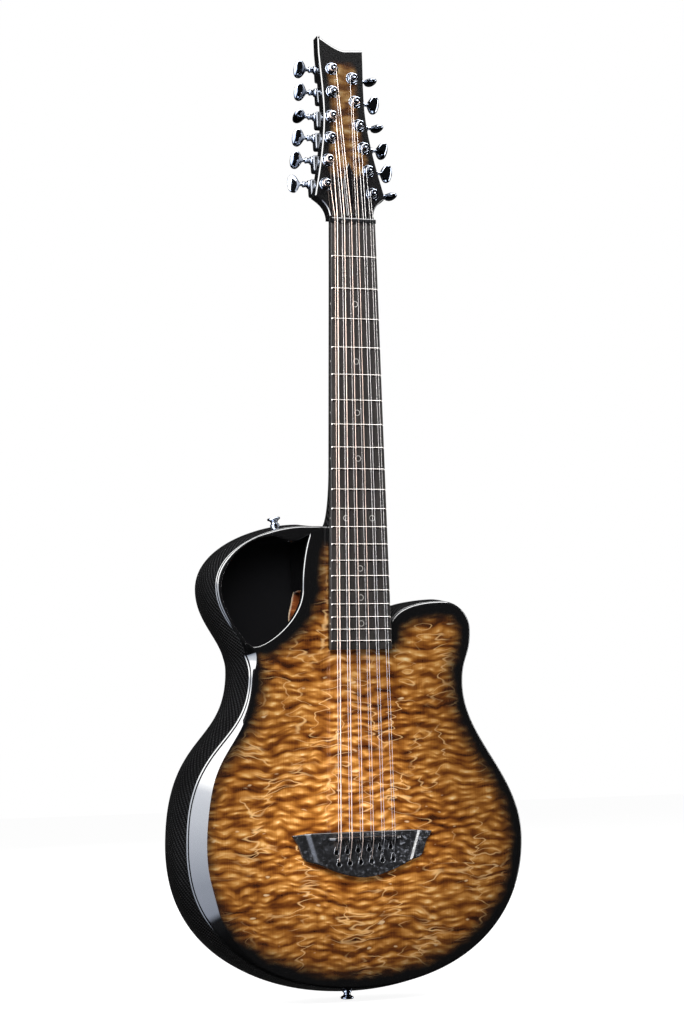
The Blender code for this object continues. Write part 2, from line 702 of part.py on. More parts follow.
def make_fingerboard():
    """Tapered board whose front face carries the fret crowns."""
    length = fret_distance(FRET_COUNT) + BOARD_PAST_LAST_FRET
    steps = [(GAP, BOARD_Y)]
    for number in range(1, FRET_COUNT + 1):
        middle = fret_distance(number)
        steps += [(middle - FRET_BASE / 2, BOARD_Y), (middle - FRET_CROWN / 2, FRET_Y),
                  (middle + FRET_CROWN / 2, FRET_Y), (middle + FRET_BASE / 2, BOARD_Y)]
    steps.append((length, BOARD_Y))
    back_y = BOARD_Y + BOARD_THICKNESS
    bm = bmesh.new()
    left = [bm.verts.new((-half_width(d), y, below(d))) for d, y in steps]
    right = [bm.verts.new((half_width(d), y, below(d))) for d, y in steps]
    corners = [bm.verts.new((sign * half_width(d), back_y, below(d)))
               for d, sign in ((GAP, -1), (GAP, 1), (length, 1), (length, -1))]
    for i in range(len(steps) - 1):
        bm.faces.new((left[i], right[i], right[i + 1], left[i + 1]))
    bm.faces.new(left + [corners[3], corners[0]])
    bm.faces.new(right + [corners[2], corners[1]])
    bm.faces.new((left[0], right[0], corners[1], corners[0]))
    bm.faces.new((left[-1], right[-1], corners[2], corners[3]))
    bm.faces.new(corners)
    return add_object("fingerboard", mesh_from_bmesh("fingerboard", bm), "dark_board")


def neck_section(distance, depth, sides=12):
    """One section of the neck: flat in front, a rounded back."""
    half = half_width(distance)
    ring = []
    for i in range(sides + 1):
        angle = math.pi * i / sides
        across = math.copysign(abs(math.cos(angle)) ** 0.8, math.cos(angle))
        ring.append((half * across, NECK_FACE_Y + depth * math.sin(angle) ** 0.9, below(distance)))
    return ring


def head_outline():
    """Outline of the headstock in its own plane, as (x, distance along the head)."""
    start = NUT_LENGTH + 2 * GAP
    neck = (half_width(0), start)
    flare = (HEAD_FLARE_HALF, HEAD_FLARE_AT)
    waist = (HEAD_WAIST_HALF, HEAD_WAIST_AT)
    top = (HEAD_TOP_HALF, HEAD_TOP_AT)
    side = [tuple(p) for p in bezier(neck, (neck[0], start + 13), (flare[0] - 9, flare[1] - 6), flare, 5)]
    side += [tuple(p) for p in bezier(flare, (flare[0] - 7, flare[1] + 30),
                                      (waist[0], waist[1] - 34), waist, 6)]
    side += [tuple(p) for p in bezier(waist, (waist[0], waist[1] + 28), (top[0] - 0.6, top[1] - 26), top, 3)]
    horn = (-HEAD_TOP_HALF + 0.6, HEAD_TOP_AT + HEAD_HORN_RISE)
    crest = [tuple(p) for p in bezier((5.0, HEAD_TOP_AT - 1.5), (-4, HEAD_TOP_AT - 1.5),
                                      (horn[0] + 9, horn[1] - 5), horn, 4)]
    bass = [(-x, s) for x, s in reversed(side)]
    return side + [top] + crest + [horn] + bass


def head_to_world(x, along, out):
    """World place of a point in the headstock's frame: across, along and out of its face."""
    tilt = math.radians(HEAD_TILT)
    return (x, HEAD_FACE_Y + along * math.sin(tilt) - out * math.cos(tilt),
            NUT_Z + along * math.cos(tilt) + out * math.sin(tilt))


def world_to_head(x, y, z):
    """Place in the headstock's frame of a world point."""
    tilt = math.radians(HEAD_TILT)
    dy, dz = y - HEAD_FACE_Y, z - NUT_Z
    return x, dy * math.sin(tilt) + dz * math.cos(tilt), -dy * math.cos(tilt) + dz * math.sin(tilt)


def place_on_head(item, x, along, out):
    """Stand an object on the headstock, its local Y up the head and its Z out of the face."""
    item.location = [value * MM for value in head_to_world(x, along, out)]
    item.rotation_euler = (math.radians(90.0 - HEAD_TILT), 0.0, 0.0)


def moved_out(outline, offset):
    """Move the points of a closed outline along its outward normals."""
    points = np.array(outline, float)
    along = np.roll(points, -1, axis=0) - np.roll(points, 1, axis=0)
    along /= np.linalg.norm(along, axis=1)[:, None]
    return points + offset * np.column_stack((along[:, 1], -along[:, 0]))


def head_prism(name, outline, out_low, out_high, edge):
    """Extrude an outline drawn on the headstock's face between two levels, its front edge chamfered."""
    rings = [(out_low, 0.0), (out_high - edge, 0.0), (out_high, -edge)]
    return lofted(name, [[head_to_world(x, s, out) for x, s in moved_out(outline, offset)]
                         for out, offset in rings])


def rod_y():
    """Depth of the truss rod's axis."""
    return NECK_FACE_Y + ROD_DEPTH


def make_neck():
    """Neck, heel, riser under the board's end and headstock as one moulding."""
    heel_start = JOINT_BELOW_NUT - HEEL_RUN
    depths = [(-NUT_LENGTH - NECK_PAST_NUT, NECK_DEPTH_IN_HEAD), (-NUT_LENGTH, NECK_DEPTH_AT_NUT),
              (NECK_EVEN_TO, NECK_DEPTH_AT_NUT), (heel_start, NECK_DEPTH_AT_HEEL)]
    for share in (0.35, 0.62, 0.82, 0.94, 1.0):
        rise = (1 - math.sqrt(max(0.0, 1 - share ** 2))) ** 0.8
        depths.append((heel_start + share * (HEEL_RUN - GAP),
                       NECK_DEPTH_AT_HEEL + (HEEL_DEPTH - NECK_DEPTH_AT_HEEL) * rise))
    shaft = lofted("neck", [neck_section(distance, depth) for distance, depth in depths])
    neck = add_object("neck", shaft, "gloss_carbon")
    riser_end = fret_distance(FRET_COUNT) + BOARD_PAST_LAST_FRET
    start = JOINT_BELOW_NUT - RISER_LEAD
    near, far = half_width(start) - RISER_INSET, half_width(riser_end) - RISER_INSET
    outline = [(near, below(start)), (far, below(riser_end)),
               (-far, below(riser_end)), (-near, below(start))]
    head_mesh = head_prism("head_form", head_outline(), -HEAD_THICKNESS, 0.0, HEAD_CHAMFER)
    head = add_cutter("head_form", head_mesh)
    boolean(neck, "UNION", head)
    riser = add_cutter("riser_form", prism("riser_form", [outline], NECK_FACE_Y, TOP_Y - GAP))
    boolean(neck, "UNION", riser)
    holes = add_cutter("post_hole_form", post_holes())
    boolean(neck, "DIFFERENCE", holes)
    channel = add_cutter("rod_channel_form", box(
        "rod_channel_form", (-ROD_RADIUS - GAP, ROD_RADIUS + GAP),
        (NECK_FACE_Y - CUT_REACH, rod_y() + ROD_RADIUS + GAP),
        (ROD_START - GAP, NUT_Z + ROD_NUT_PAST_NUT)))
    boolean(neck, "DIFFERENCE", channel)
    margin = ROD_NUT_RADIUS + ROD_POCKET_MARGIN
    pocket = add_cutter("rod_pocket_form", box(
        "rod_pocket_form", (-margin, margin), (NECK_FACE_Y - CUT_REACH, rod_y() + margin),
        (NUT_Z + NUT_LENGTH + 3 * GAP, NUT_Z + ROD_NUT_PAST_NUT + ROD_NUT_LENGTH + ROD_WRENCH_ROOM)))
    boolean(neck, "DIFFERENCE", pocket)
    return neck


def tuner_places():
    """Yield name, side and place of each tuner: bass side first, each from the nut upward."""
    for side, label, places in ((-1, "bass", POSTS_BASS), (1, "treble", POSTS_TREBLE)):
        for number, (x, along) in enumerate(places, 1):
            yield f"{label}_{number}", side, side * x, along


def post_holes():
    """Cutter with the twelve holes that the string posts pass through."""
    bm = bmesh.new()
    turn = Matrix.Rotation(math.radians(90.0 - HEAD_TILT), 4, "X")
    for _, _, x, along in tuner_places():
        place = Matrix.Translation(head_to_world(x, along, -HEAD_THICKNESS / 2)) @ turn
        bmesh.ops.create_cone(bm, cap_ends=True, segments=POST_SIDES, radius1=POST_RADIUS + 2 * GAP,
                              radius2=POST_RADIUS + 2 * GAP, depth=HEAD_THICKNESS + CUT_REACH,
                              matrix=place)
    return mesh_from_bmesh("post_hole_form", bm)


def make_nut():
    """Nut with a slot under each string."""
    crest = FRET_Y - NUT_ABOVE_FRETS
    half = half_width(0) - NUT_INSET
    block = box("nut", (-half, half), (crest, NECK_FACE_Y - GAP), (NUT_Z, NUT_Z + NUT_LENGTH))
    nut = add_object("nut", block, "dark_bone")
    bm = bmesh.new()
    floor = FRET_Y - STRING_OVER_FRETS_NUT + GAP
    mouth = crest - CUT_REACH
    for _, radius, x, _, _ in string_places():
        place = Matrix.Translation((x, (floor + mouth) / 2, NUT_Z + NUT_LENGTH / 2))
        size = Matrix.Diagonal((2 * (radius + GAP), floor - mouth, NUT_LENGTH + CUT_REACH, 1.0))
        bmesh.ops.create_cube(bm, size=1.0, matrix=place @ size)
    slots = add_cutter("nut_slot_form", mesh_from_bmesh("nut_slot_form", bm))
    boolean(nut, "DIFFERENCE", slots)
    return nut


def gear_levels():
    """Lower and upper level of the gear behind the headstock's back face."""
    low = -GAP - HOUSING_HEIGHT + HOUSING_FLOOR + 2 * GAP
    return low, low + GEAR_THICKNESS


def worm_level():
    """Level of the worm's axis, the middle of the gear."""
    low, high = gear_levels()
    return (low + high) / 2


def post_mesh():
    """String post: a turned stem and journal, the gear joined on and the string hole cut.

    Levels run from the headstock's back face. A tooth's crest points up the head, to the worm.
    """
    low, high = gear_levels()
    top = HEAD_THICKNESS + POST_ABOVE_FACE
    waist_low, waist_high = top - POST_CAP - POST_WAIST_LENGTH, top - POST_CAP
    profile = [
        (POST_RADIUS, top), (POST_RADIUS, waist_high + POST_WAIST_SLOPE), (POST_WAIST_RADIUS, waist_high),
        (POST_WAIST_RADIUS, waist_low), (POST_RADIUS, waist_low - POST_WAIST_SLOPE),
        (POST_RADIUS, high - GEAR_THICKNESS / 3), (JOURNAL_RADIUS, low + GEAR_THICKNESS / 3),
        (JOURNAL_RADIUS, low - HOUSING_FLOOR + JOURNAL_SKIN + GAP),
    ]
    stem = turned("post_form", profile, POST_SIDES)
    angles = math.pi / 2 + math.pi * np.arange(2 * GEAR_TEETH) / GEAR_TEETH
    reach = GEAR_RADIUS + TOOTH_HEIGHT * np.cos(np.pi * np.arange(2 * GEAR_TEETH))
    teeth = np.column_stack((reach * np.cos(angles), reach * np.sin(angles)))
    gear = flat_mesh("gear_form", [teeth], low, high)
    boolean(stem, "UNION", add_cutter("gear_form", gear))
    hole = rod_mesh("string_hole_form", POST_HOLE_RADIUS, -2 * POST_RADIUS, 2 * POST_RADIUS, 6)
    hole.transform(Matrix.Translation((0.0, 0.0, (waist_high - POST_HOLE_RADIUS - GAP) * MM))
                   @ Matrix.Rotation(math.radians(90.0), 4, "Y"))
    boolean(stem, "DIFFERENCE", add_cutter("string_hole_form", hole))
    return evaluated_mesh(stem)


def oval_ring(out, half_up, half_front, turn=0.0, shift_up=0.0, shift_front=0.0):
    """Return an oval section across local X at a distance out, turned and shifted."""
    angles = 2 * math.pi * (np.arange(BUTTON_SIDES) + 0.5) / BUTTON_SIDES
    up, front = half_up * np.cos(angles), half_front * np.sin(angles)
    turned_up = up * math.cos(turn) - front * math.sin(turn) + shift_up
    turned_front = up * math.sin(turn) + front * math.cos(turn) + shift_front
    return [(out, u, f) for u, f in zip(turned_up, turned_front)]


def button_mesh(side, turn):
    """Worm, shaft, collar and button as one turning piece along local X, from the worm outward.

    The worm is a round bar whose centre goes round in a small circle, once for each pitch of the
    thread, so that its section in the gear's plane is the wave that fits between the teeth. The
    button's oval head is turned about the shaft by an angle in degrees.
    """
    half = WORM_TURNS * THREAD_PITCH / 2
    collar_end = COLLAR_AT + COLLAR_LENGTH
    rings = [oval_ring(HOUSING_SKIN - HOUSING_INWARD + GAP, WORM_TIP_RADIUS, WORM_TIP_RADIUS),
             oval_ring(-half - WORM_RUN_OUT, WORM_TIP_RADIUS, WORM_TIP_RADIUS)]
    for step in range(WORM_TURNS * WORM_STEPS + 1):
        out = -half + step * THREAD_PITCH / WORM_STEPS
        phase = 2 * math.pi * out / THREAD_PITCH
        rings.append(oval_ring(out, WORM_RADIUS, WORM_RADIUS, 0.0,
                               TOOTH_HEIGHT * math.cos(phase), TOOTH_HEIGHT * math.sin(phase)))
    for out, radius in ((half + 2 * WORM_RUN_OUT, SHAFT_RADIUS), (COLLAR_AT - COLLAR_EDGE, SHAFT_RADIUS),
                        (COLLAR_AT, COLLAR_RADIUS), (collar_end, COLLAR_RADIUS),
                        (collar_end + 3 * COLLAR_EDGE, STALK_RADIUS)):
        rings.append(oval_ring(out, radius, radius))
    for share, height, thickness in BUTTON_SECTIONS:
        rings.append(oval_ring(BUTTON_AT + share * BUTTON_HALF_LENGTH, BUTTON_HALF_HEIGHT * height,
                               BUTTON_HALF_THICKNESS * thickness, math.radians(turn)))
    return lofted("tuner_button", [[(side * x, y, z) for x, y, z in ring] for ring in rings])


def housing_mesh(side):
    """Tuner housing with the gear's pocket, the journal's seat and the worm's bore cut out."""
    x_range = sorted((-side * HOUSING_INWARD, side * HOUSING_OUTWARD))
    block = box("tuner_housing", x_range, (-HOUSING_DOWN, HOUSING_UP), (-GAP - HOUSING_HEIGHT, -GAP))
    housing = add_cutter(f"housing_form_{side}", block)
    low, _ = gear_levels()
    pocket = rod_mesh("gear_pocket", GEAR_RADIUS + TOOTH_HEIGHT + 2 * GAP, low - GAP, CUT_REACH, 10)
    seat = rod_mesh("journal_seat", JOURNAL_RADIUS + GAP,
                    low - HOUSING_FLOOR + JOURNAL_SKIN, low, POST_SIDES)
    bore = rod_mesh("worm_bore", BORE_RADIUS, HOUSING_SKIN - HOUSING_INWARD,
                    HOUSING_OUTWARD + CUT_REACH, BUTTON_SIDES)
    bore.transform(Matrix.Translation((0, WORM_OFFSET * MM, worm_level() * MM))
                   @ Matrix.Rotation(math.radians(90.0 * side), 4, "Y"))
    for mesh in (pocket, seat, bore):
        boolean(housing, "DIFFERENCE", add_cutter(f"{mesh.name}_{side}", mesh))
    return evaluated_mesh(housing)


def make_tuners():
    """Twelve tuners: a housing, a string post with its gear, and a button with its worm."""
    post = post_mesh()
    housings = {side: housing_mesh(side) for side in (-1, 1)}
    turns = BUTTON_TURNS_BASS + BUTTON_TURNS_TREBLE
    for (name, side, x, along), turn in zip(tuner_places(), turns):
        housing = add_object(f"tuner_housing_{name}", housings[side].copy(), "cast_housing")
        place_on_head(housing, x, along, -HEAD_THICKNESS)
        place_on_head(add_object(f"string_post_{name}", post.copy(), "chrome"), x, along, -HEAD_THICKNESS)
        button = add_object(f"tuner_button_{name}", button_mesh(side, turn), "chrome")
        place_on_head(button, x, along + WORM_OFFSET, worm_level() - HEAD_THICKNESS)


def coil_points(side, radius, nut_point, post_x, post_along):
    """Centre line of a string on its post: the tangent point, then the turns, in the head's frame."""
    reach = POST_RADIUS + COIL_CLEARANCE + radius
    dx, ds = nut_point[0] - post_x, nut_point[1] - post_along
    toward_nut = math.atan2(ds, dx)
    turn = -side
    first = toward_nut + turn * math.acos(reach / math.hypot(dx, ds))
    # a turn of straight stretches keeps its clearance when its corners lie a little further out
    reach /= math.cos(math.pi / COIL_STEPS)
    pitch = 2 * radius + COIL_PITCH_GAP
    points = []
    for step in range(int(COIL_TURNS * COIL_STEPS) + 1):
        angle = first + turn * 2 * math.pi * step / COIL_STEPS
        level = COIL_START + radius + pitch * step / COIL_STEPS
        points.append((post_x + reach * math.cos(angle), post_along + reach * math.sin(angle), level))
    return points


def least_coil_gap(points, radius):
    """Least gap of a coil to itself, between points half a turn or more apart."""
    cloud = np.array(points)
    least = float("inf")
    for i in range(len(cloud)):
        for j in range(i + COIL_STEPS // 2, len(cloud)):
            least = min(least, float(np.linalg.norm(cloud[i] - cloud[j])) - 2 * radius)
    return least


def tuner_of_string(number):
    """Tuner that takes a string: outer strings go to the posts nearest the nut."""
    names = list(tuner_places())
    bass_count = len(POSTS_BASS)
    if number < bass_count:
        return names[number]
    return names[bass_count + len(names) - 1 - number]


def string_route(number, radius, x_nut, x_saddle, row):
    """Centre line of one string as (x, y, z, share of its radius), and its coil's gap to itself."""
    hole_z = SADDLE_Z - row + STRING_IN_KEYHOLE
    ball_y = TOP_Y + WALL + PLATE_THICKNESS + 3 * GAP + BALL_RADIUS
    ball_flat = BALL_FLAT * BALL_RADIUS
    crest = saddle_crest() - GAP - radius
    nut_y = FRET_Y - STRING_OVER_FRETS_NUT - radius
    route = [
        (x_saddle, ball_y + BALL_RADIUS, hole_z, BALL_END * BALL_RADIUS / radius),
        (x_saddle, ball_y + ball_flat, hole_z, BALL_RADIUS / radius),
        (x_saddle, ball_y - ball_flat, hole_z, BALL_RADIUS / radius),
        (x_saddle, ball_y - BALL_RADIUS, hole_z, 1.0),
        (x_saddle, BRIDGE_Y - STRING_OVER_BRIDGE - radius, hole_z + GAP, 1.0),
        (x_saddle, crest + GAP, SADDLE_Z - SADDLE_THICKNESS - STRING_TURN, 1.0),
        (x_saddle, crest, SADDLE_Z - SADDLE_THICKNESS / 2, 1.0),
        (x_nut, nut_y, NUT_Z - STRING_TURN, 1.0),
        (x_nut, nut_y, NUT_Z + NUT_LENGTH + STRING_TURN, 1.0),
    ]
    _, side, post_x, post_along = tuner_of_string(number)
    nut_place = world_to_head(x_nut, nut_y, NUT_Z + NUT_LENGTH)
    coil = coil_points(side, radius, nut_place, post_x, post_along)
    route += [(*head_to_world(*point), 1.0) for point in coil]
    return route, least_coil_gap(coil, radius)


def make_strings():
    """Twelve strings from the ball under the bridge plate to the coil on the post."""
    gaps = []
    for number, radius, x_nut, x_saddle, row in string_places():
        route, gap = string_route(number, radius, x_nut, x_saddle, row)
        gaps.append(gap)
        curve = bpy.data.curves.new(f"string_{number + 1:02d}", "CURVE")
        curve.dimensions = "3D"
        curve.bevel_depth = radius * MM
        curve.bevel_resolution = 1
        curve.use_fill_caps = True
        spline = curve.splines.new("POLY")
        spline.points.add(len(route) - 1)
        for point, (x, y, z, width) in zip(spline.points, route):
            point.co = (x * MM, y * MM, z * MM, 1.0)
            point.radius = width
        curve.materials.append(finish("bronze_wound" if radius > WOUND_FROM_RADIUS else "plain_wire"))
        item = bpy.data.objects.new(curve.name, curve)
        PARTS.objects.link(item)
    print(f"least gap of a string coil to itself: {min(gaps):.2f} mm")


def make_truss_rod():
    """Truss rod with its hexagon nut under the cover, turning about its own length."""
    length = NUT_Z + ROD_NUT_PAST_NUT - ROD_START
    bar = rod_mesh("truss_rod", ROD_RADIUS, 0.0, length + ROD_NUT_LENGTH / 2, ROD_SIDES)
    rod = add_object("truss_rod", bar, "steel")
    hexagon = rod_mesh("rod_nut_form", ROD_NUT_RADIUS, length, length + ROD_NUT_LENGTH, 6)
    boolean(rod, "UNION", add_cutter("rod_nut_form", hexagon))
    rod.location = (0.0, rod_y() * MM, ROD_START * MM)
    bpy.data.objects["rod_nut_form"].location = rod.location
    return rod


def make_cover():
    """Lancet cover over the truss rod's nut."""
    arc = bezier((COVER_HALF, COVER_SHOULDER), (COVER_HALF - 0.5, COVER_SHOULDER + 14),
                 (3.0, COVER_APEX - 8), (0.0, COVER_APEX), 5)
    half = [(COVER_HALF - 1.5, COVER_START)] + [tuple(p) for p in arc]
    outline = half + [(0.0, COVER_APEX)] + [(-x, s) for x, s in reversed(half)]
    mesh = head_prism("truss_rod_cover", outline, GAP, GAP + COVER_THICKNESS, COVER_CHAMFER)
    return add_object("truss_rod_cover", mesh, "gloss_carbon")


def strap_button(name, place, angle):
    """Strap button turned round local Z: the flange's face at 0 and the shank going down."""
    base_top = -STRAP_HEIGHT + STRAP_BASE_LENGTH
    profile = [
        (STRAP_FLANGE_RADIUS - STRAP_FLANGE_ROUND, 0.0), (STRAP_FLANGE_RADIUS, -STRAP_FLANGE_ROUND),
        (STRAP_FLANGE_RADIUS, -STRAP_FLANGE_EDGE), (STRAP_NECK_RADIUS, -2 * STRAP_FLANGE_EDGE),
        (STRAP_NECK_RADIUS, base_top + 1.0), (STRAP_BASE_RADIUS, base_top),
        (STRAP_BASE_RADIUS, -STRAP_HEIGHT), (STRAP_SHANK_RADIUS, -STRAP_HEIGHT),
        (STRAP_SHANK_RADIUS, -STRAP_HEIGHT - STRAP_SHANK_LENGTH),
    ]
    item = add_object(name, evaluated_mesh(turned(f"{name}_form", profile, STRAP_SIDES)), "chrome")
    item.location = [value * MM for value in place]
    item.rotation_euler = (0.0, angle, 0.0)


def tail_button_place():
    """Place of the tail button's face and the way it points, as an angle about Y."""
    return (0.0, 0.0, 0.0), math.pi


def shoulder_button_place():
    """Place of the shoulder button's face and the way it points, as an angle about Y."""
    points = stretch_points(*shoulder_stretch(), SHOULDER_POINTS)
    index = int(SHOULDER_BUTTON_SHARE * SHOULDER_POINTS)
    run = points[index + 1] - points[index]
    normal = np.array((run[1], -run[0])) / np.linalg.norm(run)
    side = (points[index] + points[index + 1]) / 2 + normal * SIDE_BULGE * SHOULDER_SOFT
    face = side + normal * (STRAP_HEIGHT + GAP)
    return (face[0], TOP_Y + SHOULDER_BUTTON_DEPTH, face[1]), math.atan2(normal[0], normal[1])


def strap_hole(name, place, angle):
    """Cutter for a strap button's shank through the shell."""
    deep = -STRAP_HEIGHT - STRAP_SHANK_LENGTH - CUT_REACH
    cutter = add_cutter(name, rod_mesh(name, STRAP_SHANK_RADIUS + GAP, deep, 0.0, STRAP_SIDES))
    cutter.location = [value * MM for value in place]
    cutter.rotation_euler = (0.0, angle, 0.0)
    return cutter


def make_strap_buttons():
    """Strap buttons at the tail and on the bass shoulder."""
    strap_button("strap_button_tail", *tail_button_place())
    strap_button("strap_button_shoulder", *shoulder_button_place())


clear_scene()
PARTS = make_collection("carbon_fibre_guitar")
CUTTERS = make_collection("cutters")
make_keyholes()
make_back_shell()
make_top_plate()
make_neck()
make_fingerboard()
make_nut()
make_bridge()
make_saddle()
make_bridge_plate()
make_truss_rod()
make_cover()
make_tuners()
make_strings()
make_strap_buttons()
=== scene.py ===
"""Looks of the twelve string carbon fibre guitar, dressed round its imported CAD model.

The guitar stands upright. X runs to the treble side, Y to the back and Z up the neck. Sizes are
millimetres, turned to metres as a mesh is made. "Below the nut" means measured down the neck from
the front edge of the nut, and "out" means out of the headstock's face.
"""

import json
import logging
import math
from dataclasses import dataclass
from enum import Enum

import bmesh
import bpy
import numpy as np
from mathutils import Matrix, Vector
from mathutils.geometry import delaunay_2d_cdt


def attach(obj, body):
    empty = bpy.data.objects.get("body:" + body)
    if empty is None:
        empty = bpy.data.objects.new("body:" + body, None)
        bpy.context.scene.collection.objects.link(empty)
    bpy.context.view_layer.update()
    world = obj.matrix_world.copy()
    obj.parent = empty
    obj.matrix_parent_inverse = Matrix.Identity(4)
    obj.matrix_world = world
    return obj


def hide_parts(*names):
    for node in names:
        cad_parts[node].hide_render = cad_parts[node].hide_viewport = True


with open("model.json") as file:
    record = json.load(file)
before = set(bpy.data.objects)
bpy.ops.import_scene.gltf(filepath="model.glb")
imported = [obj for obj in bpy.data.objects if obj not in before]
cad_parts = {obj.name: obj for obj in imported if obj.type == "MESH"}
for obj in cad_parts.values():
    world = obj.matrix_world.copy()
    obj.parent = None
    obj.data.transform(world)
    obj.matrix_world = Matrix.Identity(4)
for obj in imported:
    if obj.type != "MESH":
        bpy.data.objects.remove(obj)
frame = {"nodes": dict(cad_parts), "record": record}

LOG = logging.getLogger("guitar")
MM = 0.001
WELD = 0.00001
BATCH = 2000
LOOKS_ALONG = 0.99998

Array = np.ndarray
Pair = tuple[float, float]
Profile = tuple[Pair, ...]
Place = tuple[float, float, float]
Colour = tuple[float, float, float]
Mesh = bpy.types.Mesh
Socket = bpy.types.NodeSocket
Value = Socket | float | tuple


class Slot(str, Enum):
    """Material slots of the record, one of which each finish names."""

    GLOSS_CARBON = "gloss_carbon"
    FIGURED_TOP = "figured_top"
    DARK_BOARD = "dark_board"
    FORGED_CARBON = "forged_carbon"
    DARK_BONE = "dark_bone"
    CHROME = "chrome"
    CAST_HOUSING = "cast_housing"
    STEEL = "steel"
    PLAIN_WIRE = "plain_wire"
    BRONZE_WOUND = "bronze_wound"
    PLATE_CARBON = "plate_carbon"


class Side(Enum):
    """The two rows of tuners, with the direction of each along X."""

    BASS = -1
    TREBLE = 1

    @property
    def label(self) -> str:
        """Word used in the names of nodes and pieces."""
        return self.name.lower()


def joined(*parts: Array) -> Array:
    """Coordinates, each spread over the others' shape, joined on a last axis."""
    return np.stack(np.broadcast_arrays(*parts), -1)


def full_turn(count: int, shift: float = 0.0) -> Array:
    """Even angles round a circle, the first moved on by a share of their step."""
    return 2 * np.pi * (np.arange(count) + shift) / count


def circle(angle: Array) -> Array:
    """Cosine and sine of angles, as points."""
    return np.stack((np.cos(angle), np.sin(angle)), -1)


def cubic(start: Pair, leave: Pair, arrive: Pair, end: Pair, count: int) -> Array:
    """Sample a cubic curve without its last point.

    The curve is the sum of start, start + leave, end + arrive and end, weighted by (1-t) cubed,
    3t(1-t) squared, 3t squared(1-t) and t cubed, with t even from 0.

    Args:
        start: First point.
        leave: Handle at the start, counted from it.
        arrive: Handle at the end, counted from it.
        end: Last point, which the samples stop short of.
        count: Number of samples.

    Returns:
        Array of count points.
    """
    t = (np.arange(count) / count)[:, None]
    first, last = np.array(start, float), np.array(end, float)
    near, far = first + leave, last + arrive
    start_side = (1 - t) ** 3 * first + 3 * (1 - t) ** 2 * t * near
    return start_side + 3 * (1 - t) * t**2 * far + t**3 * last


def spline(at: Array, knots: Array, values: Array) -> Array:
    """Smooth curve through values at knots.

    Each span is the cubic with the given values at its ends and with the slopes of np.gradient.

    Args:
        at: Places on the curve, inside the range of the knots.
        knots: Rising places of the values.
        values: One value, or one array of values, for each knot.

    Returns:
        The curve's values at the places.
    """
    slopes = np.gradient(values, knots, axis=0)
    i = np.clip(np.searchsorted(knots, at, side="right") - 1, 0, len(knots) - 2)
    shape = (-1,) + (1,) * (values.ndim - 1)
    step = (knots[i + 1] - knots[i]).reshape(shape)
    t = (at - knots[i]).reshape(shape) / step
    return (
        (1 + 2 * t) * (1 - t) ** 2 * values[i]
        + t * (1 - t) ** 2 * step * slopes[i]
        + t * t * (3 - 2 * t) * values[i + 1]
        + t * t * (t - 1) * step * slopes[i + 1]
    )


def smooth_step(low: float, high: float, value: Array) -> Array:
    """Rise from 0 to 1 between two values as 3t squared less 2t cubed, level at both ends."""
    t = np.clip((value - low) / (high - low), 0, 1)
    return t * t * (3 - 2 * t)


def unit(vectors: Array) -> Array:
    """Vectors divided by their lengths."""
    return vectors / np.linalg.norm(vectors, axis=-1, keepdims=True)


def outward(outline: Array) -> Array:
    """Outward normals of a closed outline that runs anticlockwise, from its neighbours' chord."""
    along = unit(np.roll(outline, -1, axis=0) - np.roll(outline, 1, axis=0))
    return np.column_stack((along[:, 1], -along[:, 0]))


def edge_distance(points: Array, loops: list[Array]) -> Array:
    """Least distance of each point to the sides of closed loops.

    Args:
        points: Places in the plane, (n, 2).
        loops: Closed outlines.

    Returns:
        One distance for each point.
    """
    starts = np.vstack(loops)
    sides = np.vstack([np.roll(loop, -1, axis=0) - loop for loop in loops])
    least = np.full(len(points), np.inf)
    for chunk in np.array_split(np.arange(len(points)), max(1, len(points) // BATCH)):
        away = points[chunk, None, :] - starts[None]
        share = np.clip((away * sides).sum(-1) / np.maximum((sides**2).sum(-1), 1e-12), 0, 1)
        least[chunk] = np.linalg.norm(away - share[..., None] * sides, axis=-1).min(axis=1)
    return least


def inside(points: Array, loops: list[Array]) -> Array:
    """Whether a ray to the right from each point crosses the loops an odd number of times.

    Args:
        points: Places in the plane, (n, 2).
        loops: Closed outlines.

    Returns:
        True or False for each point.
    """
    crossings = np.zeros(len(points), int)
    for loop in loops:
        (x0, y0), (x1, y1) = loop.T, np.roll(loop, -1, axis=0).T
        for chunk in np.array_split(np.arange(len(points)), max(1, len(points) // BATCH)):
            x, y = points[chunk, 0][:, None], points[chunk, 1][:, None]
            spans = (y0 > y) != (y1 > y)
            rise = np.where(y1 == y0, 1.0, y1 - y0)
            crossings[chunk] += (spans & (x < (x1 - x0) * (y - y0) / rise + x0)).sum(axis=1)
    return crossings % 2 == 1


def filled(outer: Array, holes: list[Array], spacing: float) -> tuple[Array, Array]:
    """Cover a flat region with triangles.

    Constrained Delaunay triangulation joins a square lattice inside the region with its loops.
    Triangles whose middle lies outside are dropped.

    Args:
        outer: Outline of the region.
        holes: Outlines of its holes.
        spacing: Step of the lattice.

    Returns:
        Points, and triangles as indices.
    """
    loops = [outer, *holes]
    low, high = outer.min(axis=0), outer.max(axis=0)
    lines = [np.arange(a, b, spacing) for a, b in zip(low, high)]
    lattice = np.stack(np.meshgrid(*lines), -1).reshape(-1, 2)
    lattice = lattice[inside(lattice, loops)]
    lattice = lattice[edge_distance(lattice, loops) > 0.6 * spacing]
    points = np.vstack([*loops, lattice])
    counts = [len(loop) for loop in loops]
    firsts = np.cumsum([0] + counts[:-1])
    sides = np.vstack([first + np.column_stack((np.arange(n), (np.arange(n) + 1) % n))
                       for first, n in zip(firsts, counts)])
    vectors = [Vector(p) for p in points.tolist()]
    places, _, triangles, *_ = delaunay_2d_cdt(vectors, sides.tolist(), [], 0, 1e-6)
    places, triangles = np.array(places), np.array(triangles)
    return places, triangles[inside(places[triangles].mean(axis=1), loops)]


